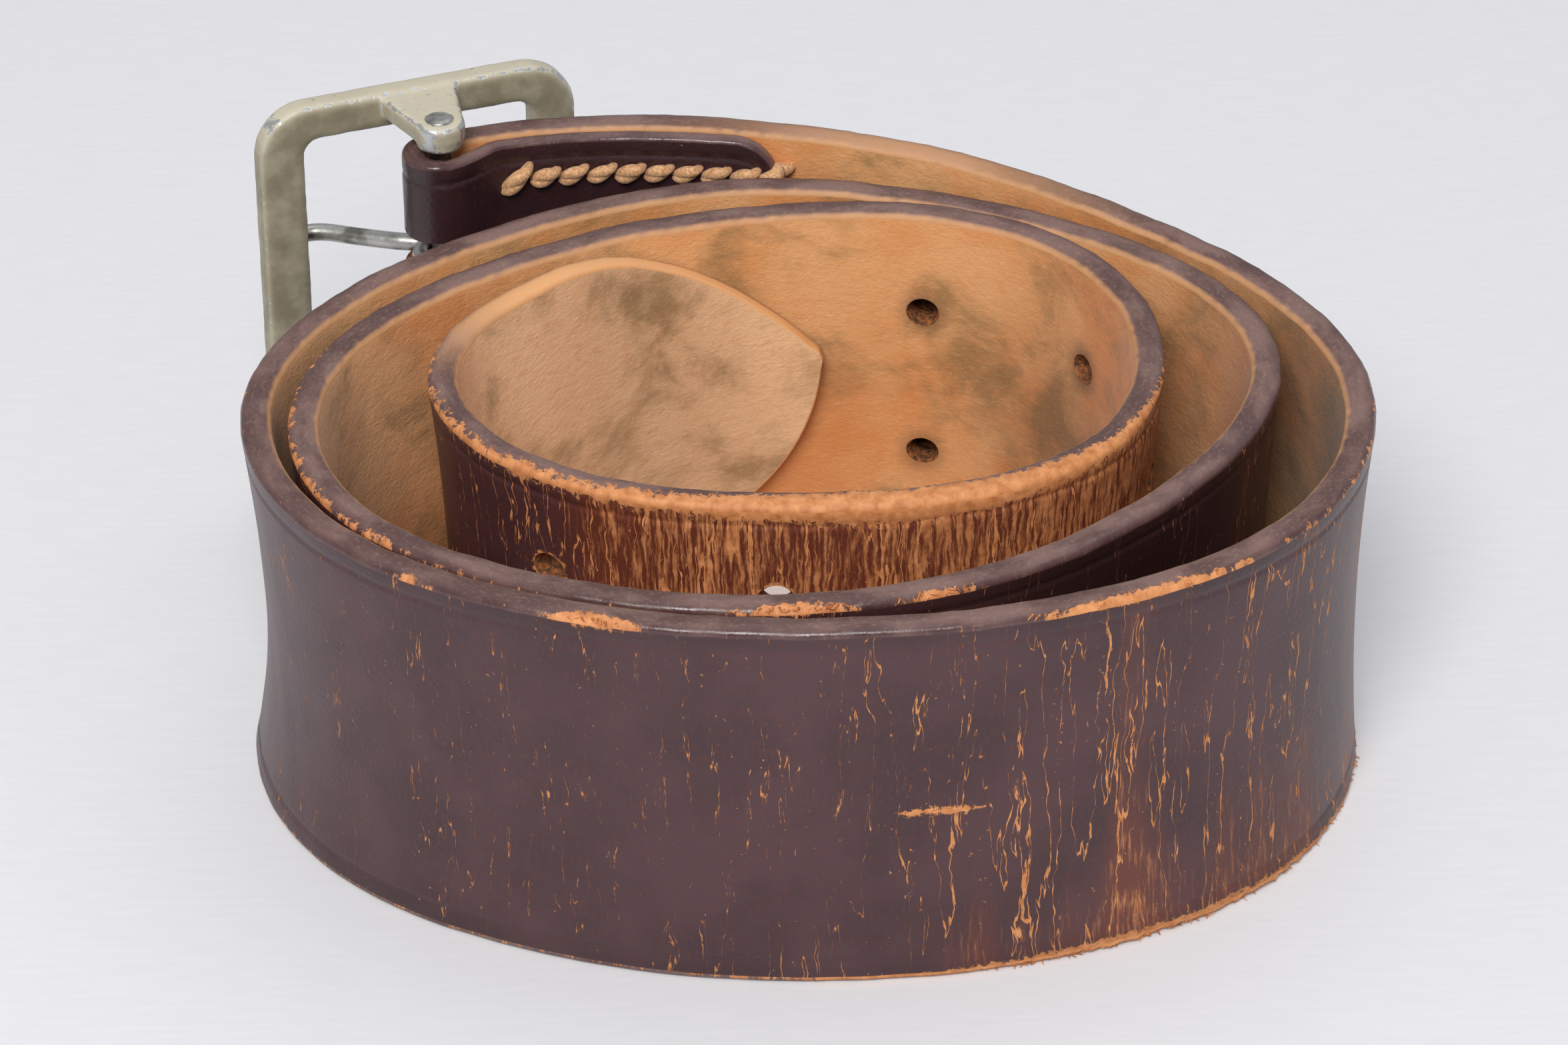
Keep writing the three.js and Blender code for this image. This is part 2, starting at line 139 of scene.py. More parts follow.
def ripple(x, wavelength, seed, octaves=4):
    """Smooth random variation in -1 to 1 along a line, from a few sines of falling length."""
    rng = np.random.default_rng(seed)
    x = np.asarray(x, float)
    total, weight = np.zeros_like(x), 0.0
    for k in range(octaves):
        length = wavelength / 1.7 ** k
        share = 0.7 ** k
        for _ in range(3):
            stretch, phase = rng.uniform(0.75, 1.35), rng.uniform(0, 2 * np.pi)
            total += share * np.sin(2 * np.pi * x / (length * stretch) + phase)
        weight += 2.0 * share
    return np.clip(total / weight, -1.0, 1.0)


def coil_radius(angle):
    """Radius of the coil at an angle in degrees: a uniform cubic B-spline."""
    place = (np.asarray(angle, float) - CONTROL_FIRST) / CONTROL_STEP
    i = np.floor(place).astype(int)
    t = place - i
    weights = np.stack([
        (1 - t) ** 3,
        3 * t ** 3 - 6 * t ** 2 + 4,
        -3 * t ** 3 + 3 * t ** 2 + 3 * t + 1,
        t ** 3,
    ]) / 6
    k = np.clip(i[None] - 1 + np.arange(4).reshape(4, *([1] * i.ndim)), 0, len(CONTROL) - 1)
    return (weights * CONTROL[k]).sum(0)


def coil_point(angle):
    a = np.radians(angle)
    r = coil_radius(angle)
    t = np.clip((angle - RISE_ANGLE) / (BAR_ANGLE - RISE_ANGLE), 0, 1)
    u = np.clip((angle - TIP_ANGLE) / LIFT_SPAN, 0, 1)
    rise = BUCKLE_RISE * t * t * (2.3 - 1.3 * t) + TIP_LIFT * (1 - u) ** 2
    return np.stack([r * np.cos(a), r * np.sin(a), WIDTH / 2 + rise], -1)


def unit(v):
    return v / np.linalg.norm(v, axis=-1, keepdims=True)


def coil_frame(angle):
    """Place, heading, outward normal and up direction at each angle."""
    angle = np.asarray(angle, float)
    along = unit(coil_point(angle + 0.1) - coil_point(angle - 0.1))
    out = unit(np.stack([along[..., 1], -along[..., 0], 0 * along[..., 0]], -1))
    return coil_point(angle), along, out, unit(np.cross(out, along))


def one_frame(angle):
    return [v[0] for v in coil_frame(np.array([angle]))]


SURVEY = np.arange(TIP_ANGLE, BAR_ANGLE + 0.1, 0.25)
DISTANCE = np.concatenate([[0], np.cumsum(np.linalg.norm(np.diff(coil_point(SURVEY), axis=0), axis=1))])
COIL_LENGTH = DISTANCE[-1]


def angle_at(distance):
    return np.interp(distance, DISTANCE, SURVEY)


def distance_at(angle):
    return np.interp(angle, SURVEY, DISTANCE)


# The buckle's axes: x back along the strap, y out through the grain side, z along the bar.
_at, _along, _out, _ = coil_frame(np.array([BAR_ANGLE]))
BUCKLE_Y = _out[0]
_level = -unit(_along[0] * [1, 1, 0])
_lean = math.radians(FRAME_LEAN)
BUCKLE_X = _level * math.cos(_lean) + np.cross(BUCKLE_Y, _level) * math.sin(_lean)
BUCKLE_Z = np.cross(BUCKLE_X, BUCKLE_Y)
LEG_OFFSET = FOLD_RADIUS + THICKNESS / 2
BAR_MIDDLE = _at[0] - BUCKLE_Y * LEG_OFFSET

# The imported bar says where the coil's own centre lies in the row's frame.
_low, _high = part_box("center_bar")
SHIFT = np.array((_low + _high) / 2) / MM - BAR_MIDDLE
SHIFT[2] = 0.0


def from_buckle(points):
    """Points in the buckle's axes, in mm, to the row's frame, in mm."""
    p = np.asarray(points, float)
    basis = np.stack([BUCKLE_X, BUCKLE_Y, BUCKLE_Z])
    return p @ basis + BAR_MIDDLE + SHIFT


# ---------------------------------------------------------------- mesh helpers


def mesh_object(name, points_mm, faces, smooth_faces=True):
    mesh = bpy.data.meshes.new(name)
    mesh.from_pydata((np.asarray(points_mm) * MM).tolist(), [], faces)
    mesh.validate()
    if smooth_faces:
        mesh.shade_smooth()
    obj = bpy.data.objects.new(name, mesh)
    bpy.context.scene.collection.objects.link(obj)
    return obj


def ring_faces(rings, size, closed=True):
    """Quads between consecutive rings of points, wound so that they face out."""
    faces = []
    for i in range(rings - 1):
        for j in range(size if closed else size - 1):
            k = (j + 1) % size
            a, b = i * size + j, i * size + k
            faces.append((a, b, b + size, a + size))
    return faces


def tube(path, radii, sides=12):
    """A closed tube with round ends along a path, as points and faces."""
    path = np.asarray(path, float)
    radii = np.broadcast_to(np.asarray(radii, float), len(path)).copy()
    heading = unit(np.gradient(path, axis=0))
    side = np.cross(heading[0], [0.31, 0.17, 0.93])
    points = []
    for k in range(len(path)):
        side = unit(side - heading[k] * (side @ heading[k]))
        other = np.cross(heading[k], side)
        turn = np.arange(sides) * 2 * np.pi / sides
        circle = np.outer(np.cos(turn), side) + np.outer(np.sin(turn), other)
        if k == 0 or k == len(path) - 1:
            out = -heading[k] if k == 0 else heading[k]
            cap = [
                path[k] + radii[k] * (circle * math.cos(a) + out * math.sin(a))
                for a in (0.0, 0.35, 0.8, 1.25)
            ]
            points.extend(cap[::-1] if k == 0 else cap)
        else:
            points.append(path[k] + radii[k] * circle)
    rings = len(points)
    faces = ring_faces(rings, sides)
    faces.append(tuple(range(sides))[::-1])
    faces.append(tuple(range((rings - 1) * sides, rings * sides)))
    return np.concatenate(points), faces


def solid(rings):
    """Rings of points closed by a flat face at each end, as points and faces."""
    count, size = len(rings), len(rings[0])
    ends = [tuple(range(size)), tuple(range((count - 1) * size, count * size))[::-1]]
    return np.concatenate(rings), ring_faces(count, size) + ends


def joined(parts):
    """Several (points, faces) as one."""
    points, faces, base = [], [], 0
    for p, f in parts:
        points.append(p)
        faces.extend(tuple(i + base for i in face) for face in f)
        base += len(p)
    return np.concatenate(points), faces


def outward(obj):
    """All faces of the object's closed shells point out."""
    bm = bmesh.new()
    bm.from_mesh(obj.data)
    bmesh.ops.recalc_face_normals(bm, faces=bm.faces)
    bm.to_mesh(obj.data)
    bm.free()


def apply_modifiers(obj):
    graph = bpy.context.evaluated_depsgraph_get()
    mesh = bpy.data.meshes.new_from_object(
        obj.evaluated_get(graph), preserve_all_data_layers=True, depsgraph=graph
    )
    obj.modifiers.clear()
    obj.data = mesh


def cut(obj, cutter):
    """Takes the cutter out of the object and removes the cutter."""
    modifier = obj.modifiers.new("cut", "BOOLEAN")
    modifier.operation = "DIFFERENCE"
    modifier.solver = "MANIFOLD"
    modifier.material_mode = "TRANSFER"
    modifier.object = cutter
    bpy.context.view_layer.update()
    apply_modifiers(obj)
    bpy.data.objects.remove(cutter)


# ---------------------------------------------------------------- node helpers


def linear(code):
    """An sRGB hex colour as linear RGBA."""
    parts = [int(code[i:i + 2], 16) / 255 for i in (1, 3, 5)]
    return (*[c / 12.92 if c <= 0.04045 else ((c + 0.055) / 1.055) ** 2.4 for c in parts], 1.0)


class Recipe:
    """A material's nodes as they are put together. Vectors are in metres and sizes in mm."""

    def __init__(self, name):
        self.material = bpy.data.materials.new(name)
        self.material.use_nodes = True
        self.tree = self.material.node_tree
        self.tree.nodes.clear()

    def node(self, kind, settings=None, **links):
        """Adds a node. Settings are its properties, and links its inputs: values or sockets."""
        node = self.tree.nodes.new(kind)
        for key, value in (settings or {}).items():
            setattr(node, key, value)
        for key, value in links.items():
            numbered = key[0] == "i" and key[1:].isdigit()
            socket = node.inputs[int(key[1:]) if numbered else key.replace("_", " ")]
            if isinstance(value, bpy.types.NodeSocket):
                self.tree.links.new(value, socket)
            else:
                socket.default_value = value
        return node

    def math(self, operation, a, b=0.0, clamp=False):
        settings = {"operation": operation, "use_clamp": clamp}
        return self.node("ShaderNodeMath", settings, i0=a, i1=b).outputs[0]

    def mul(self, a, b, clamp=False):
        return self.math("MULTIPLY", a, b, clamp)

    def add(self, a, b):
        return self.math("ADD", a, b)

    def sub(self, a, b):
        return self.math("SUBTRACT", a, b)

    def larger(self, a, b):
        return self.math("MAXIMUM", a, b)

    def step(self, value, low, high):
        """The value as 0 below low and 1 above high, smooth between."""
        settings = {"interpolation_type": "SMOOTHSTEP"}
        links = dict(Value=value, From_Min=low, From_Max=high)
        return self.node("ShaderNodeMapRange", settings, **links).outputs[0]

    def spread(self, value, first, last, low=0.0, high=1.0):
        """The value from low to high as a value from first to last."""
        links = dict(Value=value, From_Min=low, From_Max=high, To_Min=first, To_Max=last)
        return self.node("ShaderNodeMapRange", **links).outputs[0]

    def mix(self, share, a, b):
        """Colour a turned into b by the share; each is a socket or a hex code."""
        a, b = (linear(c) if isinstance(c, str) else c for c in (a, b))
        settings = {"data_type": "RGBA", "clamp_factor": True}
        return self.node("ShaderNodeMix", settings, i0=share, i6=a, i7=b).outputs[2]

    def noise(self, vector, size_mm, detail=3.0, roughness=0.55, distortion=0.0):
        """Noise with features of a real size."""
        links = dict(Vector=vector, Scale=1.0 / (size_mm * MM), Detail=detail)
        links.update(Roughness=roughness, Distortion=distortion)
        return self.node("ShaderNodeTexNoise", **links).outputs[0]

    def stretched(self, vector, x, y):
        """The vector with each axis scaled, for marks that are longer one way."""
        settings = {"operation": "MULTIPLY"}
        return self.node("ShaderNodeVectorMath", settings, i0=vector, i1=(x, y, 1.0)).outputs[0]

    def place(self):
        return self.node("ShaderNodeTexCoord").outputs[3]

    def bump(self, strength, depth_mm, height):
        links = dict(Strength=strength, Distance=depth_mm * MM, Height=height)
        return self.node("ShaderNodeBump", **links).outputs[0]

    def finish(self, **links):
        shader = self.node("ShaderNodeBsdfPrincipled", **links)
        output = self.node("ShaderNodeOutputMaterial")
        self.tree.links.new(shader.outputs[0], output.inputs[0])
        return self.material


# ---------------------------------------------------------------- leather


def hide_inputs(m):
    """Distance along the strap and across its surface, in metres, and the marks of use and painted shade
    that the mesh carries.
    """
    lay = m.node("ShaderNodeUVMap", {"uv_map": "lay"}).outputs[0]
    wear_and_shade = m.node("ShaderNodeVertexColor", {"layer_name": "wear_and_shade"}).outputs[0]
    parts = m.node("ShaderNodeSeparateColor", i0=wear_and_shade)
    return lay, parts.outputs[0], parts.outputs[1], parts.outputs[2]


def warped(m, lay, reach_mm, size_mm):
    """The vector pushed sideways by a noise, so that long marks wander."""
    push = m.mul(m.sub(m.noise(lay, size_mm, 2.0), 0.5), reach_mm * MM)
    side = m.node("ShaderNodeCombineXYZ", X=push).outputs[0]
    return m.node("ShaderNodeVectorMath", {"operation": "ADD"}, i0=lay, i1=side).outputs[0]


def knocked(m, lay, rubbed):
    """Where the dyed skin is rubbed off, with a ragged border."""
    ragged = m.sub(m.noise(lay, 1.0, 5.0, 0.75), 0.5)
    return m.step(m.add(rubbed, m.mul(ragged, 1.7)), 0.5, 0.6)


def raw_core(m, lay, s):
    """The undyed core of the hide, shown by every split and knock."""
    return m.mix(m.step(m.noise(lay, 1.5, 4.0, 0.65), 0.20, 0.75), s.core_deep, s.core_light)


def grain_leather(s):
    """Vegetable-tanned bridle leather, dyed and waxed on the grain: a dark, close surface with a fine
    pebble, split across the bends so that the undyed tan core shows, and rubbed bare at the corners."""
    m = Recipe("Bridle leather, waxed grain")
    lay, cracked, rubbed, tone_and_shade = hide_inputs(m)

    dye = m.mix(m.step(m.noise(lay, 14.0, 3.0), 0.35, 0.65), s.grain_dark, s.grain_light
    )
    hair = m.noise(m.stretched(lay, 1.0, 0.30), 0.42, 4.0, 0.65)
    dye = m.mix(m.mul(m.step(hair, 0.50, 0.66), 0.55), dye, s.grain_red)
    heavy_wear = m.step(cracked, 0.66, 0.85)
    dye = m.mix(m.mul(heavy_wear, 0.75), dye, s.grain_worn)

    # Splits: contour lines of a noise that is drawn out across the strap, broken into dashes.
    wander = warped(m, lay, 1.8, 5.0)
    field = m.noise(m.stretched(wander, 1.0, 0.085), 3.4, 3.5, 0.55)
    band = m.math("FRACT", m.mul(field, 5.0))
    line = m.math("ABSOLUTE", m.sub(band, 0.5))
    dash = m.noise(m.stretched(lay, 1.0, 0.55), 1.3, 4.0, 0.7)
    patch = m.noise(m.stretched(lay, 1.0, 0.5), 9.0, 2.0)
    gate = m.add(m.mul(dash, 0.62), m.mul(patch, 0.38))
    gate = m.add(gate, m.mul(cracked, 0.32))
    width = m.mul(m.step(gate, 0.555, 0.90), 0.056)
    splits = m.step(m.sub(width, line), -0.006, 0.014)
    # Dense rubbed streaks where the wear is heaviest.
    streak = m.noise(m.stretched(warped(m, lay, 0.6, 2.0), 1.0, 0.09), 0.52, 4.0, 0.60)
    heavy = m.add(streak, m.mul(cracked, 0.6))
    streaks = m.mul(m.step(heavy, 0.97, 1.17), m.mul(heavy_wear, 0.78))
    # Pinholes in the dye, in rows along the splits to come.
    fleck = m.noise(m.stretched(lay, 1.0, 0.6), 0.62, 3.0, 0.7)
    rows = m.step(m.noise(m.stretched(wander, 1.0, 0.07), 1.6, 2.0), 0.5, 0.62)
    fleck = m.add(fleck, m.add(m.mul(rows, 0.075), m.mul(cracked, 0.05)))
    flecks = m.step(fleck, 0.735, 0.775)
    bare = knocked(m, lay, rubbed)
    worn = m.larger(m.larger(splits, streaks), m.larger(flecks, bare))

    colour = m.mix(worn, dye, raw_core(m, lay, s))
    # Painted shade: the grain turns near black in the gap at the middle turn, on the flap and towards
    # the bottom edge, along with random darker tone and a band near each edge.
    colour = m.mix(m.mul(tone_and_shade, 0.85), colour, s.grain_black_and_shade)

    pebble = m.noise(lay, 0.62, 3.0, 0.6)
    smoothed = m.sub(0.55, m.mul(worn, 0.40))
    height = m.sub(m.mul(pebble, smoothed), m.mul(worn, 0.3))
    normal = m.bump(0.8, 0.2, height)
    rough = m.spread(m.sub(worn, m.mul(tone_and_shade, 0.2)), 0.28, 0.85, low=-0.2)
    return m.finish(
        Base_Color=colour, Roughness=rough, Normal=normal, IOR=1.5,
    )


def edge_leather(s):
    """Burnished edge, dyed and rubbed smooth: a dull violet brown with fine grit, polished on the
    outer corner, with tan flecks where it is knocked."""
    m = Recipe("Bridle leather, burnished edge")
    lay, cracked, rubbed, polish = hide_inputs(m)
    layered = m.noise(m.stretched(lay, 0.6, 1.0), 0.45, 4.0, 0.7)
    broad = m.noise(m.stretched(lay, 0.5, 1.0), 5.0, 3.0, 0.6)
    dye = m.mix(m.step(broad, 0.35, 0.65), s.edge_dark, s.edge_light)
    dye = m.mix(m.mul(m.step(layered, 0.5, 0.72), 0.4), dye, s.edge_dust)
    speck = m.step(m.noise(lay, 0.7, 4.0, 0.7), 0.70, 0.75)
    bare = m.larger(knocked(m, lay, rubbed), m.mul(speck, 0.8))
    colour = m.mix(bare, dye, raw_core(m, lay, s))
    colour = m.mix(cracked, colour, s.flesh_tan)
    colour = m.mix(m.mul(polish, m.sub(0.8, bare), True), colour, s.grain_dark)
    height = m.sub(m.mul(layered, 0.6), m.mul(bare, 0.4))
    normal = m.bump(0.6, 0.16, height)
    rough = m.spread(m.sub(polish, bare), 0.62, 0.10)
    return m.finish(
        Base_Color=colour, Roughness=rough, Normal=normal, IOR=1.5,
    )


def flesh_leather(s):
    """The undyed flesh side, shaved and rubbed by use: matt tan with ochre and olive smudges, fine
    loose fibre, grime round the holes, and painted shade in the gap at the right of the outer turn."""
    m = Recipe("Bridle leather, undyed flesh")
    lay, rubbed_pale, _, tone_and_shade = hide_inputs(m)
    broad = m.noise(lay, 26.0, 3.0, 0.6, 0.3)
    colour = m.mix(m.step(broad, 0.36, 0.64), s.flesh_orange, s.flesh_tan)
    colour = m.mix(m.mul(rubbed_pale, 0.85), colour, s.flesh_pale)
    smudge = m.noise(m.stretched(lay, 0.9, 1.1), 13.0, 5.0, 0.62, 0.35)
    # Smudges, drawn a little towards the grime and the painted shade.
    dirt = m.add(smudge, m.mul(tone_and_shade, 0.16))
    colour = m.mix(m.mul(m.step(dirt, 0.47, 0.72), 0.80), colour, s.flesh_olive)
    nap = m.noise(m.stretched(lay, 0.7, 1.0), 1.6, 5.0, 0.75, 0.3)
    colour = m.mix(m.mul(m.step(nap, 0.48, 0.75), 0.40), colour, s.flesh_orange)
    fibre = m.noise(m.stretched(lay, 0.5, 1.0), 0.5, 4.0, 0.75, 0.5)
    colour = m.mix(m.mul(m.step(fibre, 0.5, 0.8), 0.35), colour, s.flesh_pale)
    # Grime round the holes and along the edges, and painted shade in the gap at the right of the outer
    # turn.
    colour = m.mix(m.mul(tone_and_shade, 0.85), colour, s.flesh_grime_and_shade)
    height = m.add(m.mul(fibre, 0.7), nap)
    normal = m.bump(0.7, 0.3, height)
    return m.finish(
        Base_Color=colour, Roughness=0.9, Normal=normal, IOR=1.45, Specular_IOR_Level=0.25,
        Sheen_Weight=0.15, Sheen_Roughness=0.5,
    )


def hole_leather(s):
    """The cut wall of a hole: raw core darkened by handling."""
    m = Recipe("Bridle leather, cut wall")
    place = m.place()
    grit = m.noise(place, 0.6, 4.0, 0.7)
    colour = m.mix(m.step(grit, 0.35, 0.7), s.flesh_grime_and_shade, s.core_deep)
    normal = m.bump(0.5, 0.2, grit)
    return m.finish(
        Base_Color=colour, Roughness=0.85, Normal=normal,
    )


# ---------------------------------------------------------------- strap mesh

# Steps in from the edge of a face: fine over the rounded corner and the creased line.
EDGE_STEPS = [0.0, 0.5, 1.1, 1.6, 2.0, 2.3, 2.6, 2.9, 3.2, 3.5, 3.9, 4.6]
FACE_CELLS = 28
CORNER_CELLS = 4
RIM_CELLS = 4
CORNER_RADIUS = 0.85
RIM_DOME = 0.15
END_ROUND = 1.2
CREASE_INSET = 2.1
CREASE_DEPTH = 0.22
CREASE_WIDTH = 0.3
FRAY_ANGLE = 1040.0
FRAY_SPAN = 42.0
SCUFF_ANGLE = 1007.5
SCUFF_HEIGHT = -1.2
GRAIN, TOP, FLESH, BOTTOM = range(4)


def half_width(distance):
    """Half the width of the strap from its point: two arcs, with a small round nose."""
    half = WIDTH / 2
    radius = (TIP_LENGTH ** 2 + half ** 2) / (2 * half)
    run = np.clip(TIP_LENGTH - distance, 0, TIP_LENGTH)
    arch = half - radius + np.sqrt(radius ** 2 - run ** 2)
    nose = 2.4
    near = np.clip(distance, 0, nose)
    return np.maximum(arch, np.sqrt(2 * nose * near - near ** 2) * (distance < nose))


def skive(distance):
    """The point is pared thinner on its flesh side."""
    return 1 - 0.42 * smooth(1 - distance / 60)


def round_end(distance):
    """From nothing at an end of the leather to one, as a quarter circle."""
    return np.sqrt(1 - (1 - np.clip(distance / END_ROUND, 0, 1)) ** 2)


def flap_half(distance):
    half = WIDTH / 2 - FLAP_INSET
    run = np.clip(FLAP_LENGTH - distance, 0, FLAP_CORNER)
    return half - FLAP_CORNER + np.sqrt(FLAP_CORNER ** 2 - (FLAP_CORNER - run) ** 2)


def flap_point(distance):
    at, _, out, up = coil_frame(angle_at(COIL_LENGTH - distance))
    rest = THICKNESS / 2 + SKIN_GAP + FLAP_THICKNESS / 2
    near_bar = LEG_OFFSET + FOLD_RADIUS + FLAP_THICKNESS / 2
    offset = near_bar + (rest - near_bar) * smooth(distance / FLAP_JOIN)
    return at - out * offset[:, None], up


def strap_stations(pitch):
    """Every station from the point, round the bar, to the flap's end."""
    nose = np.array([0.06, 0.15, 0.3, 0.5, 0.75, 1.05, 1.4, 1.8, 2.3, 2.9, 3.6])
    body = np.linspace(4.4, COIL_LENGTH - 46, int((COIL_LENGTH - 50.4) / pitch))
    end = np.linspace(COIL_LENGTH - 45.4, COIL_LENGTH, 58)
    s = np.concatenate([nose, body, end])
    angle = angle_at(s)
    at, along, out, up = coil_frame(angle)
    to_bar = COIL_LENGTH - s
    coil = dict(
        s=s, angle=angle, at=at, out=out, up=up, half=half_width(s),
        bow=BOW * smooth(s / BOW_RAMP) * smooth((to_bar - BOW_FREE) / BOW_RAMP),
        splay=SPLAY * smooth(1 - np.abs(angle - SPLAY_ANGLE) / SPLAY_SPAN),
        thick=THICKNESS * skive(s) * (0.5 + 0.5 * round_end(s)),
    )
    steps = 28
    share = np.arange(1, steps + 1) / steps
    turn = share * np.pi
    thick = THICKNESS + (FLAP_THICKNESS - THICKNESS) * smooth(share)
    radius = FOLD_RADIUS + thick / 2
    direction = -np.sin(turn)[:, None] * BUCKLE_X + np.cos(turn)[:, None] * BUCKLE_Y
    fold_length = np.pi * (FOLD_RADIUS + 1.5)
    fold = dict(
        s=COIL_LENGTH + share * fold_length, angle=np.full(steps, BAR_ANGLE),
        at=BAR_MIDDLE + direction * radius[:, None],
        out=direction, up=np.tile(BUCKLE_Z, (steps, 1)), half=WIDTH / 2 - FLAP_INSET * share,
        bow=np.zeros(steps), splay=np.zeros(steps), thick=thick,
    )
    close = FLAP_LENGTH - np.array([0.8, 0.5, 0.3, 0.15, 0.06, 0.01])
    d = np.concatenate([np.linspace(1.2, 38.5, 53), np.linspace(39, 44.4, 14), close])
    at, up = flap_point(d)
    along = unit(flap_point(d + 0.6)[0] - flap_point(np.maximum(d - 0.6, 0))[0])
    n = len(d)
    flap = dict(
        s=COIL_LENGTH + fold_length + d, angle=np.full(n, BAR_ANGLE), at=at,
        out=unit(np.cross(along, up)), up=up,
        half=flap_half(d), bow=np.zeros(n), splay=np.zeros(n),
        thick=FLAP_THICKNESS * (0.45 + 0.55 * round_end(FLAP_LENGTH - d)),
    )
    return {key: np.concatenate([coil[key], fold[key], flap[key]]) for key in coil}


def section_layout():
    """The ring of points round the strap: which face each is on, and its place there."""
    inner = np.linspace(-1, 1, FACE_CELLS + 1)[1:-1]
    face = [(-1, off, 0) for off in EDGE_STEPS] + [(0, f, 0) for f in inner]
    face += [(1, off, 0) for off in EDGE_STEPS[::-1]]
    ring = [("grain", *f) for f in face]
    ring += [("corner", 1, 1, k / CORNER_CELLS) for k in range(1, CORNER_CELLS)]
    ring += [("rim", 1, 1 - 2 * k / RIM_CELLS, 0) for k in range(RIM_CELLS + 1)]
    ring += [("corner", 1, -1, k / CORNER_CELLS) for k in range(CORNER_CELLS - 1, 0, -1)]
    ring += [("flesh", *f) for f in face[::-1]]
    ring += [("corner", -1, -1, k / CORNER_CELLS) for k in range(1, CORNER_CELLS)]
    ring += [("rim", -1, -1 + 2 * k / RIM_CELLS, 0) for k in range(RIM_CELLS + 1)]
    ring += [("corner", -1, 1, k / CORNER_CELLS) for k in range(CORNER_CELLS - 1, 0, -1)]
    return ring


def strap_surface(pitch):
    """Points, faces, each face's region and where each corner lies on the hide."""
    st = strap_stations(pitch)
    ring = section_layout()
    n, m = len(st["s"]), len(ring)
    s, half = st["s"], st["half"]
    taper = np.clip(half / 8, 0.02, 1)
    depth = st["thick"] / 2
    corner = CORNER_RADIUS * np.minimum(depth / (THICKNESS / 2), taper)
    half_top = half + (0.10 * ripple(s, 16, 3) + 0.05 * ripple(s, 3.5, 4)) * taper
    across, deep = np.zeros((n, m)), np.zeros((n, m))
    for j, (kind, side, a, b) in enumerate(ring):
        h = (half_top if side > 0 else half) - RIM_DOME * taper
        if kind in ("grain", "flesh") and side:
            sign = 1 if kind == "grain" else -1
            groove = CREASE_DEPTH * math.exp(-((a - CREASE_INSET) / CREASE_WIDTH) ** 2)
            groove *= kind == "grain"
            across[:, j] = side * (h - corner - a * taper)
            deep[:, j] = sign * depth - groove * (taper > 0.9)
        elif kind in ("grain", "flesh"):
            across[:, j] = a * (half - (EDGE_STEPS[-1] + CORNER_RADIUS + RIM_DOME) * taper)
            deep[:, j] = depth if kind == "grain" else -depth
        elif kind == "corner":
            phi = b * np.pi / 2
            across[:, j] = side * (h - corner + corner * math.sin(phi))
            deep[:, j] = a * (depth - corner + corner * math.cos(phi))
        else:
            across[:, j] = side * (h + RIM_DOME * taper * (1 - a ** 2))
            deep[:, j] = a * (depth - corner)

    edge_run = depth[:, None] - deep
    plain = across.copy()

    # The lower edge is frayed at the right front of the outer turn, and the upper corner is chipped.
    column = s[:, None]
    low_edge = smooth(1 - (across + half[:, None]) / 2.6) * (deep > -depth[:, None] * 0.9)
    frayed = (bump(st["angle"], FRAY_ANGLE, FRAY_SPAN))[:, None] * low_edge
    deep += frayed * (0.35 + 0.55 * ripple(column, 2.6, 11) + 0.3 * ripple(column + 0.7 * deep, 1.1, 12))
    across += frayed * (0.25 + 0.45 * ripple(column, 3.1, 13).clip(0, 1))
    top_corner = smooth(1 - np.hypot(half[:, None] - across, depth[:, None] - deep) / 1.6)
    chipped = chip_amount(st["angle"])[:, None] * (0.6 + 0.6 * ripple(column, 2.2, 14))
    chipped = np.clip(chipped, 0, 1) * top_corner
    deep -= 0.55 * chipped
    across -= 0.30 * chipped
    # Leather is never quite even.
    uneven = 0.05 * ripple(column + 0.3 * across, 9, 15) + 0.10 * ripple(column, 34, 16)
    deep += uneven * taper[:, None]

    deep += (THICKNESS / 2 * (1 - skive(s)) * (s < COIL_LENGTH))[:, None]
    share = across / np.maximum(half[:, None], 0.1)
    bow, splay = st["bow"][:, None], st["splay"][:, None]
    offset = deep - bow * (1 - share ** 2) + splay * np.minimum(share, 0) ** 2
    points = st["at"][:, None] + st["out"][:, None] * offset[..., None]
    points = points + st["up"][:, None] * across[..., None]
    points = points.reshape(-1, 3) + SHIFT
    points[:, 2] = np.maximum(points[:, 2], 0.0)

    kinds = [r[0] for r in ring]
    first_top = kinds.index("corner")
    first_flesh = kinds.index("flesh")
    last_flesh = m - 1 - kinds[::-1].index("flesh")
    faces, regions, lay = [], [], []
    maps = {
        GRAIN: plain,
        TOP: WIDTH / 2 + edge_run,
        FLESH: WIDTH + THICKNESS - plain,
        BOTTOM: -WIDTH / 2 - edge_run,
    }
    for j in range(m):
        region = sum(j >= start for start in (first_top - 1, first_flesh, last_flesh))
        k = (j + 1) % m
        w = maps[region]
        for i in range(n - 1):
            faces.append((i * m + j, (i + 1) * m + j, (i + 1) * m + k, i * m + k))
            corners = ((i, j), (i + 1, j), (i + 1, k), (i, k))
            lay.append(tuple((s[a], w[a, b]) for a, b in corners))
            regions.append(region)
    for i, order in ((0, range(m)), (n - 1, range(m - 1, -1, -1))):
        faces.append(tuple(i * m + j for j in order))
        lay.append(tuple((s[i], maps[TOP][i, j]) for j in order))
        regions.append(TOP)
    return points, faces, regions, lay


def chip_amount(angle):
    """How far the upper grain corner is knocked away, by the angle along the coil."""
    return np.clip(
        1.0 * bump(angle, 969, 8) + 0.8 * bump(angle, 1027, 16) + 0.5 * bump(angle, 948, 4)
        + 0.9 * bump(angle, 631, 10) + 0.5 * bump(angle, 648, 8) + 0.7 * bump(angle, 300, 75)
        + 0.25 * bump(angle, 1060, 40), 0, 1,
    )


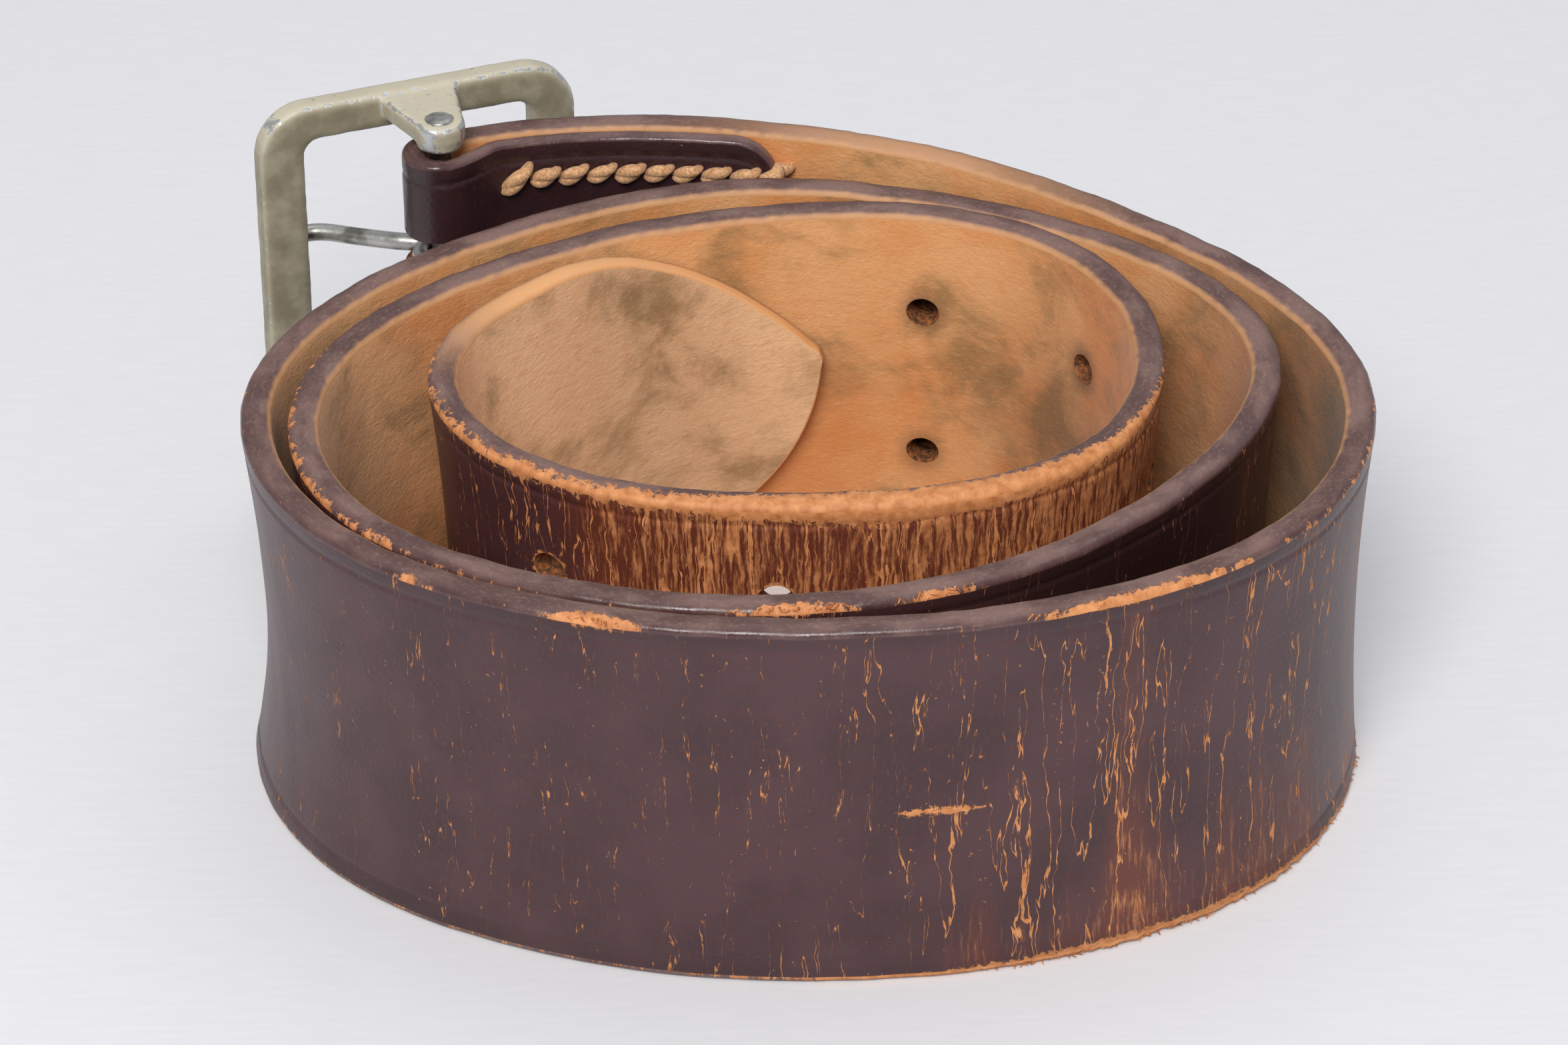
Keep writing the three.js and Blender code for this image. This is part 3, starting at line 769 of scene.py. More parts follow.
def wear_and_shade_masks(s, w, region):
    """Split, rubbed and darker shares of the surface, the last partly painted shade, at a distance along
    and a place across, in mm.
    """
    angle = angle_at(np.minimum(s, COIL_LENGTH))
    coil = s < COIL_LENGTH
    low = np.clip(-w / 25, 0, 1)
    inner = angle < 440
    middle = (angle >= 440) & (angle < 800)
    outer = angle >= 800

    split = np.select(
        [inner, middle, outer],
        [
            0.90 - 0.30 * bump(angle, 205, 42) + 0.10 * bump(angle, 340, 60) + 0.05 * ripple(s, 23, 21),
            0.50 + 0.18 * bump(angle, 700, 30) + 0.10 * ripple(s, 17, 22),
            0.33 + 0.32 * smooth((angle - 965) / 70) * smooth((1130 - angle) / 50)
            + 0.14 * bump(angle, 905, 34)
            + (0.06 + 0.12 * bump(angle, 1020, 60)) * low + 0.10 * ripple(s, 19, 23),
        ],
    )
    split = np.where(coil, split, 0.0)

    corner = np.minimum(np.abs(w - WIDTH / 2), np.abs(w + WIDTH / 2))
    upper = w > 0
    chips = chip_amount(angle)
    knocks = 0.24 + 0.16 * ripple(s, 11, 31) + 0.16 * ripple(s, 3, 32)
    frayed_here = bump(angle, FRAY_ANGLE - 8, FRAY_SPAN + 18)
    knocks = knocks + np.where(upper, 0.75 * chips, 0.12 + 0.75 * frayed_here)
    reach = np.where(upper, 0.9 + 1.0 * chips, 1.1 + 1.1 * frayed_here)
    band = bump(angle, 285, 95) * inner * upper
    knocks, reach = knocks + 0.55 * band, reach + 2.2 * band
    frayed_left = bump(angle, 205, 70) * inner + 0.8 * bump(angle, 562, 55)
    frayed_left = (frayed_left + 0.5 * bump(angle, 893, 45)) * upper
    knocks, reach = knocks + 0.34 * frayed_left, reach + 1.6 * frayed_left
    rubbed = np.clip(knocks * (1.25 - corner / reach), 0, 1)
    beside = s - distance_at(SCUFF_ANGLE)
    across_scuff = np.abs(w - SCUFF_HEIGHT - 0.05 * beside - 0.25 * ripple(s, 3, 33))
    scuff = np.maximum(bump(beside, 0, 9) * 1.8, 0.5 * bump(beside, 9, 9))
    scuff = scuff * np.clip(1.2 - across_scuff / np.where(beside > 7, 0.16, 0.62), 0, 1)
    rubbed = np.maximum(rubbed, 0.85 * np.clip(scuff, 0, 1))
    tuft = bump(angle, 1005, 22) * np.clip(-w - 17.5, 0, 5) / 5 * (0.5 + 0.5 * ripple(s, 1.3, 36))
    rubbed = np.maximum(rubbed, 0.45 * tuft)
    rubbed = np.where(coil, rubbed, 0.15 * rubbed)

    # On the grain the last share is darker: random tone and a band near each edge, and painted shade
    # deep in the gap at the middle turn, on the flap that faces into the coil, and over the lower half
    # towards the bottom edge.
    dark = np.select(
        [middle & (angle > 600), inner],
        [0.80 * bump(angle, 668, 55), np.zeros_like(s)],
        0.10 * low + 0.12 * ripple(s, 40, 34).clip(0, 1) + 0.25 * bump(np.abs(w), 23.4, 1.5),
    )
    dark = np.where(coil, dark, 0.62)

    # On the flesh side the first share is for paler, rubbed leather, and the last for grime and painted
    # shade.
    flesh = region == FLESH
    face = WIDTH + THICKNESS - w
    pale = 0.95 * smooth(1 - (s - 44) / 30) + 0.35 * bump(angle, 560, 60) + 0.12 * ripple(s, 30, 35)
    grime = np.zeros_like(s)
    for pair in range(HOLE_PAIRS):
        for side in (-1, 1):
            past = s - FIRST_HOLE - pair * HOLE_PITCH
            gap = np.hypot(past, face - side * ROW_OFFSET - ROW_SHIFT)
            grime = np.maximum(grime, np.clip(1.3 - gap / 3.4, 0, 1) * np.where(flesh, 0.7, 0.0))
            rim = np.hypot(past, w - side * ROW_OFFSET - ROW_SHIFT)
            worn_rim = 0.85 * np.clip(2.0 - rim / 1.75, 0, 1) * (region == GRAIN)
            rubbed = np.maximum(rubbed, worn_rim)
    grime += 0.50 * bump(angle, 388, 34) * bump(face, -4, 30) + 0.25 * bump(s, 22, 26)
    # Painted shade in the gap at the right of the outer turn, near 1070 degrees, and a darker stretch of
    # the middle turn near 700 degrees.
    grime += 0.45 * bump(angle, 1070, 75) + 0.25 * bump(angle, 700, 60)
    grime += 0.35 * smooth(1 - (WIDTH / 2 - np.abs(face)) / 1.4)

    # On the edges the first share is for the tan of the skived point, and the last for polish.
    edge = region == TOP
    tan = 0.95 * smooth(1 - (s - 42) / 26) * coil + 0.55 * bump(angle, 1150, 45)
    run = np.abs(w) - WIDTH / 2
    inner_corner = np.clip(1.2 - (THICKNESS - run) / 0.42 + 0.35 * ripple(s, 2.5, 38), 0, 1)
    tan = np.maximum(tan, 0.75 * inner_corner)
    polish = np.clip(1.25 - run / 0.9, 0, 1) * (w > 0) * (0.75 + 0.4 * ripple(s, 9, 37))
    return (
        np.select([flesh, edge], [pale, tan], split).clip(0, 1),
        rubbed.clip(0, 1),
        np.select([flesh, edge], [grime, polish], dark).clip(0, 1),
    )


def hole_cutters(material):
    """Worn holes: a punched bore that opens at both faces, a little longer along the strap."""
    sides = 24
    turn = np.arange(sides) * 2 * np.pi / sides
    d = THICKNESS / 2
    profile = [
        (-d - 2, 2.7), (-d - 0.1, 2.0), (-d + 0.25, 1.78), (-d + 0.7, HOLE_RADIUS),
        (d - 0.8, HOLE_RADIUS), (d - 0.3, 1.85), (d + 0.1, 2.15), (d + 2, 3.2),
    ]
    parts = []
    for pair in range(HOLE_PAIRS):
        at, along, out, up = one_frame(angle_at(FIRST_HOLE + pair * HOLE_PITCH))
        for side in (-1, 1):
            place = side * ROW_OFFSET + ROW_SHIFT
            middle = at + up * place - out * BOW * (1 - (place / 25) ** 2)
            rings = [
                middle + out * y + r * (1.1 * np.outer(np.cos(turn), along) + np.outer(np.sin(turn), up))
                for y, r in profile
            ]
            points, faces = solid(rings)
            parts.append((points + SHIFT, faces))
    obj = mesh_object("hole_cutters", *joined(parts))
    obj.data.materials.append(material)
    outward(obj)
    return obj


def slot_cutters(leg, past, material):
    """The two slots for the prongs, through one leg of the fold, with round ends."""
    parts = []
    for side in (-1, 1):
        z = side * PRONG_ROW - PRONG_SLIDE + SLOT_WIDTH / 2 - WIRE_RADIUS - SKIN_GAP
        r = SLOT_WIDTH / 2
        turn = np.linspace(-np.pi / 2, np.pi / 2, 13)
        outline = [(-12, -r)] + [(past + r * math.cos(t), r * math.sin(t)) for t in turn] + [(-12, r)]
        low, high = (0, 8) if leg > 0 else (-7.5, 0.5)
        rings = [[(x, y, z + v) for x, v in outline] for y in (low, high)]
        points, faces = solid(rings)
        parts.append((from_buckle(points), faces))
    obj = mesh_object("slot_cutters", *joined(parts))
    obj.data.materials.append(material)
    outward(obj)
    return obj


def build_strap(s):
    points, faces, regions, lay = strap_surface(s.pitch / MM)
    strap = mesh_object("strap_leather", points, faces)
    mesh = strap.data
    uv = mesh.uv_layers.new(name="lay")
    corners = np.array([corner for face in lay for corner in face]) * MM
    uv.data.foreach_set("uv", corners.astype(np.float32).ravel())
    for material in (grain_leather(s), edge_leather(s), flesh_leather(s)):
        mesh.materials.append(material)
    slots = {GRAIN: 0, TOP: 1, BOTTOM: 1, FLESH: 2}
    mesh.polygons.foreach_set("material_index", np.array([slots[r] for r in regions], np.int32))
    outward(strap)
    wall = hole_leather(s)
    cut(strap, hole_cutters(wall))
    cut(strap, slot_cutters(1, SLOT_GRAIN, wall))
    cut(strap, slot_cutters(-1, SLOT_FLAP, wall))

    mesh = strap.data
    loops = len(mesh.loops)
    uvs = np.zeros(loops * 2, np.float32)
    mesh.uv_layers["lay"].data.foreach_get("uv", uvs)
    along, over = uvs.reshape(-1, 2).T / MM
    index = np.zeros(len(mesh.polygons), np.int32)
    mesh.polygons.foreach_get("material_index", index)
    counts = np.zeros(len(mesh.polygons), np.int32)
    mesh.polygons.foreach_get("loop_total", counts)
    region = np.array([GRAIN, TOP, FLESH, TOP])[np.minimum(np.repeat(index, counts), 3)]
    wear_and_shade = np.ones((loops, 4), np.float32)
    wear_and_shade[:, :3] = np.stack(wear_and_shade_masks(along.astype(float), over.astype(float), region), -1)
    layer = mesh.color_attributes.new("wear_and_shade", "FLOAT_COLOR", "CORNER")
    layer.data.foreach_set("color", wear_and_shade.ravel())
    mesh.set_sharp_from_angle(angle=math.radians(42))
    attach(strap, "belt_strap")
    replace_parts(strap, "strap")


# ---------------------------------------------------------------- seams


def waxed_thread(s):
    """Waxed linen cord of two plies: matt, pale tan, darker in the grooves between the fibres."""
    m = Recipe("Linen cord, waxed")
    place = m.place()
    strand = m.noise(place, 0.35, 4.0, 0.7)
    grime = m.noise(place, 2.5, 3.0, 0.6)
    colour = m.mix(m.step(strand, 0.35, 0.7), s.thread_dark, s.thread_light)
    colour = m.mix(m.mul(m.step(grime, 0.5, 0.72), 0.45), colour, s.thread_grime)
    normal = m.bump(0.6, 0.15, strand)
    return m.finish(
        Base_Color=colour, Roughness=0.72, Normal=normal, Sheen_Weight=0.15, IOR=1.5,
    )


def seam_surface(distance, inner):
    """The place and outward direction of the doubled leather's face at a distance from the bar."""
    at, _, out, up = one_frame(angle_at(COIL_LENGTH - distance))
    if not inner:
        return at + out * THICKNESS / 2, out, up
    if distance > FLAP_LENGTH:
        return at - out * THICKNESS / 2, -out, up
    return flap_point(np.array([distance]))[0][0] - out * FLAP_THICKNESS / 2, -out, up


def stitch(start, end, side, inner, fat, slant):
    """Two plies twisted round each other, from one hole to the next."""
    count = 15
    t = np.linspace(0, 1, count)
    lift = 0.62 * np.sin(np.pi * t) ** 0.6 * fat - 0.85 * (1 - np.sin(np.pi * t)) ** 3
    line, outs, ups = [], [], []
    for share, high in zip(t, lift):
        base, out, up = seam_surface(start + (end - start) * share, inner)
        line.append(base + out * high + up * (side * SEAM_OFFSET + slant * (share - 0.5)))
        outs.append(out)
        ups.append(up)
    line, outs, ups = np.array(line), np.array(outs), np.array(ups)
    size = (0.34 + 0.50 * np.sin(np.pi * t) ** 0.8) * fat
    parts = []
    for phase in (0.0, np.pi):
        turn = phase + 2.6 * (t - 0.5) + 0.6
        turned = np.cos(turn)[:, None] * ups + np.sin(turn)[:, None] * outs * 0.7
        ply = line + 0.60 * size[:, None] * turned
        points, faces = tube(ply, size, 10)
        parts.append((points + SHIFT, faces))
    return parts


def build_seam(name, side, material):
    parts = []
    rng = np.random.default_rng(7 if side > 0 else 8)
    for inner in (True, False):
        for i in range(STITCHES):
            start = FIRST_STITCH + i * STITCH_PITCH
            end = start + STITCH_PITCH
            fat = rng.uniform(0.92, 1.08) * (1.0 if inner else 0.72)
            slant = rng.uniform(1.3, 1.9) * (1.0 if inner else -1.0)
            if inner and i == 0:
                start, slant, fat = start - 0.2, 3.6, 1.12
            if inner and i == STITCHES - 1:
                end, slant, fat = end + 0.4, 1.7, 1.3
            parts += stitch(start, end, side, inner, fat, slant)
    seam = mesh_object(name, *joined(parts))
    outward(seam)
    seam.data.materials.append(material)
    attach(seam, "belt_strap")
    return seam


# ---------------------------------------------------------------- frayed fibres


def raw_fibre(s):
    """Loose fibres of the leather's core at the knocked edges: short, matt, orange tan."""
    m = Recipe("Leather fibre, raw core")
    place = m.place()
    colour = m.mix(m.step(m.noise(place, 1.2, 3.0), 0.4, 0.6), s.core_deep, s.core_light)
    return m.finish(
        Base_Color=colour, Roughness=0.9, IOR=1.45,
    )


def build_fibres(s):
    """Short curved fibres along the frayed lower edge and the knocked upper corners."""
    rng = np.random.default_rng(29)
    parts = []
    zones = [
        (FRAY_ANGLE, FRAY_SPAN * 0.8, -1, 150), (631, 9, 1, 30), (648, 7, 1, 14),
        (1027, 14, 1, 16), (969, 7, 1, 12),
    ]
    for middle, reach, side, count in zones:
        for angle in middle + reach * (rng.random(count) + rng.random(count) - 1):
            at, along, out, up = one_frame(angle)
            splay = SPLAY * smooth(1 - abs(angle - SPLAY_ANGLE) / SPLAY_SPAN) if side < 0 else 0.0
            root = at + out * (THICKNESS / 2 - 0.35 + splay + rng.uniform(-0.3, 0.1))
            root = root + up * side * (WIDTH / 2 - rng.uniform(0.2, 0.7))
            length = rng.uniform(0.3, 0.75)
            aim = out * rng.uniform(0.4, 1.0) + along * rng.uniform(-1, 1)
            aim = unit(aim + up * side * rng.uniform(-0.3, 0.25))
            bend = unit(rng.normal(size=3)) * length * 0.3
            path = [root + aim * length * t + bend * t * t for t in np.linspace(-0.3, 1, 5)]
            points, faces = tube(np.array(path), np.linspace(0.13, 0.04, 5) * rng.uniform(0.8, 1.5), 5)
            points = points + SHIFT
            points[:, 2] = np.maximum(points[:, 2], 0.02)
            parts.append((points, faces))
    fibres = mesh_object("frayed_fibres", *joined(parts))
    outward(fibres)
    fibres.data.materials.append(raw_fibre(s))
    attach(fibres, "belt_strap")


# ---------------------------------------------------------------- buckle


def cast_metal(s):
    """Die-cast zinc alloy under olive stoving lacquer: a satin khaki coat with a soft orange peel,
    rubbed through to dull silver on the edges and in small chips, and paler on the upward faces of
    the top bar and upper lug as a painted highlight."""
    m = Recipe("Zinc alloy, die cast, olive lacquer")
    place = m.place()
    edge = m.node("ShaderNodeVertexColor", {"layer_name": "worn"}).outputs[0]
    share = m.node("ShaderNodeSeparateColor", i0=edge)
    patch = m.noise(place, 5.5, 4.0, 0.6)
    coat = m.mix(m.step(patch, 0.36, 0.64), s.lacquer_dark, s.lacquer_light)
    # Painted highlight: the upward faces of the top bar and the upper lug turn pale, with some fading on
    # the edges.
    coat = m.mix(m.mul(share.outputs[1], 0.8), coat, s.lacquer_faded_and_lit)
    rub = m.add(m.mul(share.outputs[0], 0.30), m.noise(place, 1.3, 5.0, 0.68))
    bare = m.step(rub, 0.68, 0.76)
    colour = m.mix(bare, coat, s.bare_zinc)
    peel = m.noise(place, 0.9, 3.0, 0.6)
    height = m.sub(m.mul(peel, 0.5), m.mul(bare, 0.3))
    normal = m.bump(0.4, 0.2, height)
    metal = m.mul(bare, 0.85)
    rough = m.spread(bare, 0.48, 0.34)
    return m.finish(
        Base_Color=colour, Metallic=metal, Roughness=rough, Normal=normal,
    )


def drawn_wire(s):
    """Drawn steel wire, dulled by handling: grey, with fine marks along it and darker stains."""
    m = Recipe("Steel wire, drawn")
    place = m.place()
    mark = m.noise(place, 0.8, 4.0, 0.65)
    stain = m.noise(place, 3.5, 3.0, 0.6)
    colour = m.mix(m.step(stain, 0.42, 0.68), s.steel_light, s.steel_dark)
    normal = m.bump(0.25, 0.1, mark)
    rough = m.spread(mark, 0.26, 0.5)
    return m.finish(
        Base_Color=colour, Metallic=1.0, Roughness=rough, Normal=normal,
    )


def rounded_outline(x, y, radius, corner_points=9, side_points=14):
    """A rounded rectangle as points, the same number on each side and corner whatever its size."""
    points = []
    corners = [(x, -y, -90), (x, y, 0), (-x, y, 90), (-x, -y, 180)]
    for k, (cx, cy, start) in enumerate(corners):
        mx, my = cx - math.copysign(radius, cx), cy - math.copysign(radius, cy)
        turns = [math.radians(start + 90 * t) for t in np.linspace(0, 1, corner_points)]
        arc = [(mx + radius * math.cos(a), my + radius * math.sin(a)) for a in turns]
        points += arc
        nx, ny, next_start = corners[(k + 1) % 4]
        ex = nx - math.copysign(radius, nx) + radius * math.cos(math.radians(next_start))
        ey = ny - math.copysign(radius, ny) + radius * math.sin(math.radians(next_start))
        for t in np.linspace(0, 1, side_points + 2)[1:-1]:
            points.append((arc[-1][0] + (ex - arc[-1][0]) * t, arc[-1][1] + (ey - arc[-1][1]) * t))
    return np.array(points)


def frame_ring():
    """The rectangular ring with rounded edges, in the buckle's axes."""
    outer = rounded_outline(FRAME_WIDTH / 2, FRAME_HEIGHT / 2, FRAME_CORNER)
    inner = rounded_outline(FRAME_WIDTH / 2 - SIDE_BAR, FRAME_HEIGHT / 2 - TOP_BAR, WINDOW_CORNER)
    r = 1.0
    points = []
    for o, i in zip(outer, inner):
        span = np.linalg.norm(o - i)
        way = (o - i) / span
        section = []
        far, deep = span - r, FRAME_DEPTH - r
        for cx, cy, start in ((far, r, -90), (far, deep, 0), (r, deep, 90), (r, r, 180)):
            for t in np.linspace(0, 1, 5):
                a = math.radians(start + 90 * t)
                section.append((cx + r * math.cos(a), cy + r * math.sin(a)))
        for u, v in section:
            flat = i + way * u
            points.append((flat[0], FRAME_STANDOFF + v, flat[1]))
    n, m = len(outer), 20
    faces = []
    for i in range(n):
        for j in range(m):
            here, after, k = i * m, (i + 1) % n * m, (j + 1) % m
            faces.append((here + j, after + j, after + k, here + k))
    return np.array(points), faces


def lug_plate(side):
    """A lug with softened edges, and the boss under it, in the buckle's axes."""
    reach = FRAME_STANDOFF + 1.8
    turn = np.linspace(np.pi, 2 * np.pi, 19)
    outline = np.array(
        [(-LUG_ROOT / 2, reach), (-LUG_ROOT / 2 * 0.93, reach - 1.2)]
        + [(LUG_TIP_RADIUS * math.cos(t), LUG_TIP_RADIUS * math.sin(t)) for t in turn]
        + [(LUG_ROOT / 2 * 0.93, reach - 1.2), (LUG_ROOT / 2, reach)]
    )
    outer = FRAME_HEIGHT / 2 - LUG_INSET
    low = outer - LUG_THICKNESS if side > 0 else -outer
    middle = np.array([0.0, reach / 2])
    rings = []
    softened = [(0, 0.5), (0.15, 0.2), (0.5, 0)]
    for z, inset in softened + [(LUG_THICKNESS - z, inset) for z, inset in softened[::-1]]:
        away = outline - middle
        ring = outline - unit(away) * inset
        rings.append(np.column_stack([ring, np.full(len(ring), low + z)]))
    plate = solid(rings)
    top = outer - LUG_THICKNESS + 0.6
    ends = [(top, 3.0), (top - 0.6 - BOSS_HEIGHT * 0.7, 3.0), (top - 0.6 - BOSS_HEIGHT, 2.65)]
    circle = np.linspace(0, 2 * np.pi, 25)[:-1]
    rings = [
        np.column_stack([r * np.cos(circle), r * np.sin(circle), np.full(24, side * z)])
        for z, r in ends
    ]
    return [plate, solid(rings)]


def lathe_along_bar(profile, sides=28):
    """A closed turned solid about the bar; the profile gives height and radius."""
    turn = np.arange(sides) * 2 * np.pi / sides
    rings = [
        np.column_stack([r * np.cos(turn), r * np.sin(turn), np.full(sides, z)])
        for z, r in profile
    ]
    return solid(rings)


def to_metal_body(name, parts, material, body, node):
    """Parts in the buckle's axes become one object in the row's frame that rides on its body."""
    points, faces = joined(parts)
    obj = mesh_object(name, from_buckle(points), faces)
    outward(obj)
    obj.data.materials.append(material)
    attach(obj, body)
    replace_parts(obj, node)


def build_frame(s):
    points, faces = joined([frame_ring(), *lug_plate(1), *lug_plate(-1)])
    obj = mesh_object("buckle_casting", points, faces)
    outward(obj)
    remesh = obj.modifiers.new("cast", "REMESH")
    remesh.mode, remesh.voxel_size, remesh.adaptivity = "VOXEL", 0.36 * MM, 0.0
    soften = obj.modifiers.new("soften", "SMOOTH")
    soften.factor, soften.iterations = 0.5, 4
    bpy.context.view_layer.update()
    apply_modifiers(obj)
    bore = mesh_object("bore", *lathe_along_bar([(-40, FOLD_RADIUS), (40, FOLD_RADIUS)]))
    outward(bore)
    cut(obj, bore)

    mesh = obj.data
    n = len(mesh.vertices)
    place, normal = np.zeros(n * 3, np.float32), np.zeros(n * 3, np.float32)
    mesh.vertices.foreach_get("co", place)
    mesh.vertices.foreach_get("normal", normal)
    place, normal = place.reshape(-1, 3).astype(float) / MM, normal.reshape(-1, 3)
    edge = np.clip((0.97 - np.abs(normal).max(1)) / 0.2, 0, 1)
    top = np.clip(normal[:, 2], 0, 1) * (place[:, 2] > FRAME_HEIGHT / 2 - TOP_BAR - 1)
    lugs = (place[:, 1] < FRAME_STANDOFF - 0.3) * (place[:, 2] > 0)
    worn = np.ones((n, 4), np.float32)
    # Red: lacquer rubbed through on the edges and the upper lug's edges, and a little on the upward
    # faces of the top bar as part of a painted highlight. Green: the upward faces of the top bar and the
    # upper lug painted paler as a highlight, with some fading on the edges.
    worn[:, 0] = np.clip(0.55 * edge + 0.25 * top + 0.65 * edge * lugs, 0, 1)
    worn[:, 1] = np.clip(0.85 * top + 0.3 * edge + 0.35 * lugs, 0, 1)
    worn[:, 2] = 0
    mesh.color_attributes.new("worn", "FLOAT_COLOR", "POINT").data.foreach_set("color", worn.ravel())
    dents = 0.05 * (ripple(place[:, 2], 13, 41) + ripple(place[:, 0], 11, 42))
    dents += 0.02 * ripple(place @ [1, 0.7, 1.3], 3.5, 43)
    place += normal * dents[:, None]
    mesh.vertices.foreach_set("co", (from_buckle(place) * MM).astype(np.float32).ravel())
    mesh.update()
    mesh.shade_smooth()
    mesh.materials.clear()
    mesh.materials.append(cast_metal(s))
    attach(obj, "buckle")
    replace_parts(obj, "buckle_frame")


def build_bar(s, material):
    """The bar's ends are peened into low heads that fill the mouths of the bores."""
    end = FRAME_HEIGHT / 2 - LUG_INSET
    head = [(-0.35, 0.9), (-0.22, 1.6), (0.05, 1.95), (0.25, 1.78), (0.5, BAR_RADIUS)]
    half = [(-end + rise, radius) for rise, radius in head]
    profile = half + [(-z, r) for z, r in half[::-1]]
    to_metal_body("buckle_bar", [lathe_along_bar(profile)], material, "buckle", "center_bar")


def prong_path():
    """One turn of wire round the bar, then over the side bar of the frame."""
    eye = FOLD_RADIUS + WIRE_RADIUS
    loop = [(eye * math.cos(a), eye * math.sin(a), 0.0) for a in np.radians(np.linspace(-232, 90, 40))]
    rest = FRAME_STANDOFF + FRAME_DEPTH + SKIN_GAP + WIRE_RADIUS
    keys = np.array([
        (0.8, eye - 0.1, 0), (0, eye, 0), (-4, 5.2, -0.2), (-8.5, 9.4, -0.6 * PRONG_DROOP),
        (-12, rest - 0.5, -0.8 * PRONG_DROOP), (-14.5, rest + 0.4, -0.9 * PRONG_DROOP),
        (-PRONG_TIP, rest, -PRONG_DROOP), (-PRONG_TIP - 4, rest - 0.5, -PRONG_DROOP),
    ])
    shank = []
    for k in range(1, len(keys) - 2):
        a, b, c, d = keys[k - 1:k + 3]
        for t in np.linspace(0, 1, 9)[1:]:
            square, cube = 2 * a - 5 * b + 4 * c - d, 3 * b - a - 3 * c + d
            shank.append(0.5 * (2 * b + (c - a) * t + square * t ** 2 + cube * t ** 3))
    return np.concatenate([loop, shank])


def build_prong(name, z, material, body, node):
    path = prong_path() + [0, 0, z]
    radii = np.full(len(path), WIRE_RADIUS)
    radii[-8:] *= np.linspace(1.0, 0.86, 8)
    to_metal_body(name, [tube(path, radii, 20)], material, body, node)


# ---------------------------------------------------------------- stage


def pale_board(s):
    """Sealed white board: matt, with faint brushed lines."""
    m = Recipe("Board, matt white lacquer")
    place = m.place()
    grain = m.noise(m.stretched(place, 0.12, 1.0), 0.9, 3.0, 0.6)
    colour = m.mix(m.step(grain, 0.3, 0.7), s.board_dark, s.board_light)
    return m.finish(
        Base_Color=colour, Roughness=0.8,
    )


def add_light(name, place, target, size, power, colour):
    light = bpy.data.lights.new(name, "AREA")
    light.shape, light.size, light.energy, light.color = "DISK", size, power, colour
    obj = bpy.data.objects.new(name, light)
    obj.location = place
    obj.rotation_euler = (Vector(target) - Vector(place)).to_track_quat("-Z", "Y").to_euler()
    bpy.context.scene.collection.objects.link(obj)


def build_stage(s):
    sides, radius, thick = 96, 3000, 30
    turn = np.linspace(0, 2 * np.pi, sides + 1)[:-1]
    points = [(radius * math.cos(a), radius * math.sin(a), z) for z in (0, -thick) for a in turn]
    faces = [tuple(range(sides)), tuple(range(sides, 2 * sides))[::-1]]
    for i in range(sides):
        k = (i + 1) % sides
        faces.append((i, i + sides, k + sides, k))
    board = mesh_object("board", points, faces, smooth_faces=False)
    board.data.materials.append(pale_board(s))

    world = bpy.data.worlds.new("studio")
    world.use_nodes = True
    back = world.node_tree.nodes["Background"]
    back.inputs[0].default_value = linear(s.sky)
    back.inputs[1].default_value = s.sky_strength
    bpy.context.scene.world = world
    add_light("softbox", (-0.2, -1.1, 1.25), (0, 0, 0.02), 0.8, s.key_power, (1.0, 0.985, 0.965))
    add_light("overhead", (0.25, 0.5, 1.5), (0, 0, 0.02), 1.2, s.fill_power, (0.98, 0.99, 1.0))

    camera = bpy.data.cameras.new("camera")
    camera.lens, camera.sensor_width = s.lens, 36.0
    camera.clip_start, camera.clip_end = 0.01, 20.0
    obj = bpy.data.objects.new("camera", camera)
    pitch, roll = s.camera_pitch, s.camera_roll
    right = Vector((1, 0, 0))
    up = Vector((0, math.sin(pitch), math.cos(pitch)))
    forward = Vector((0, math.cos(pitch), -math.sin(pitch)))
    x = right * math.cos(roll) + up * math.sin(roll)
    y = up * math.cos(roll) - right * math.sin(roll)
    basis = Matrix((x, y, -forward)).transposed().to_4x4()
    obj.matrix_world = Matrix.Translation(Vector(s.camera_place)) @ basis
    bpy.context.scene.collection.objects.link(obj)
    bpy.context.scene.camera = obj
    bpy.context.scene.view_settings.view_transform = "Standard"


# ---------------------------------------------------------------- add-on


def hex_property(name, description, default):
    return bpy.props.StringProperty(name=name, description=description, default=default, maxlen=7)


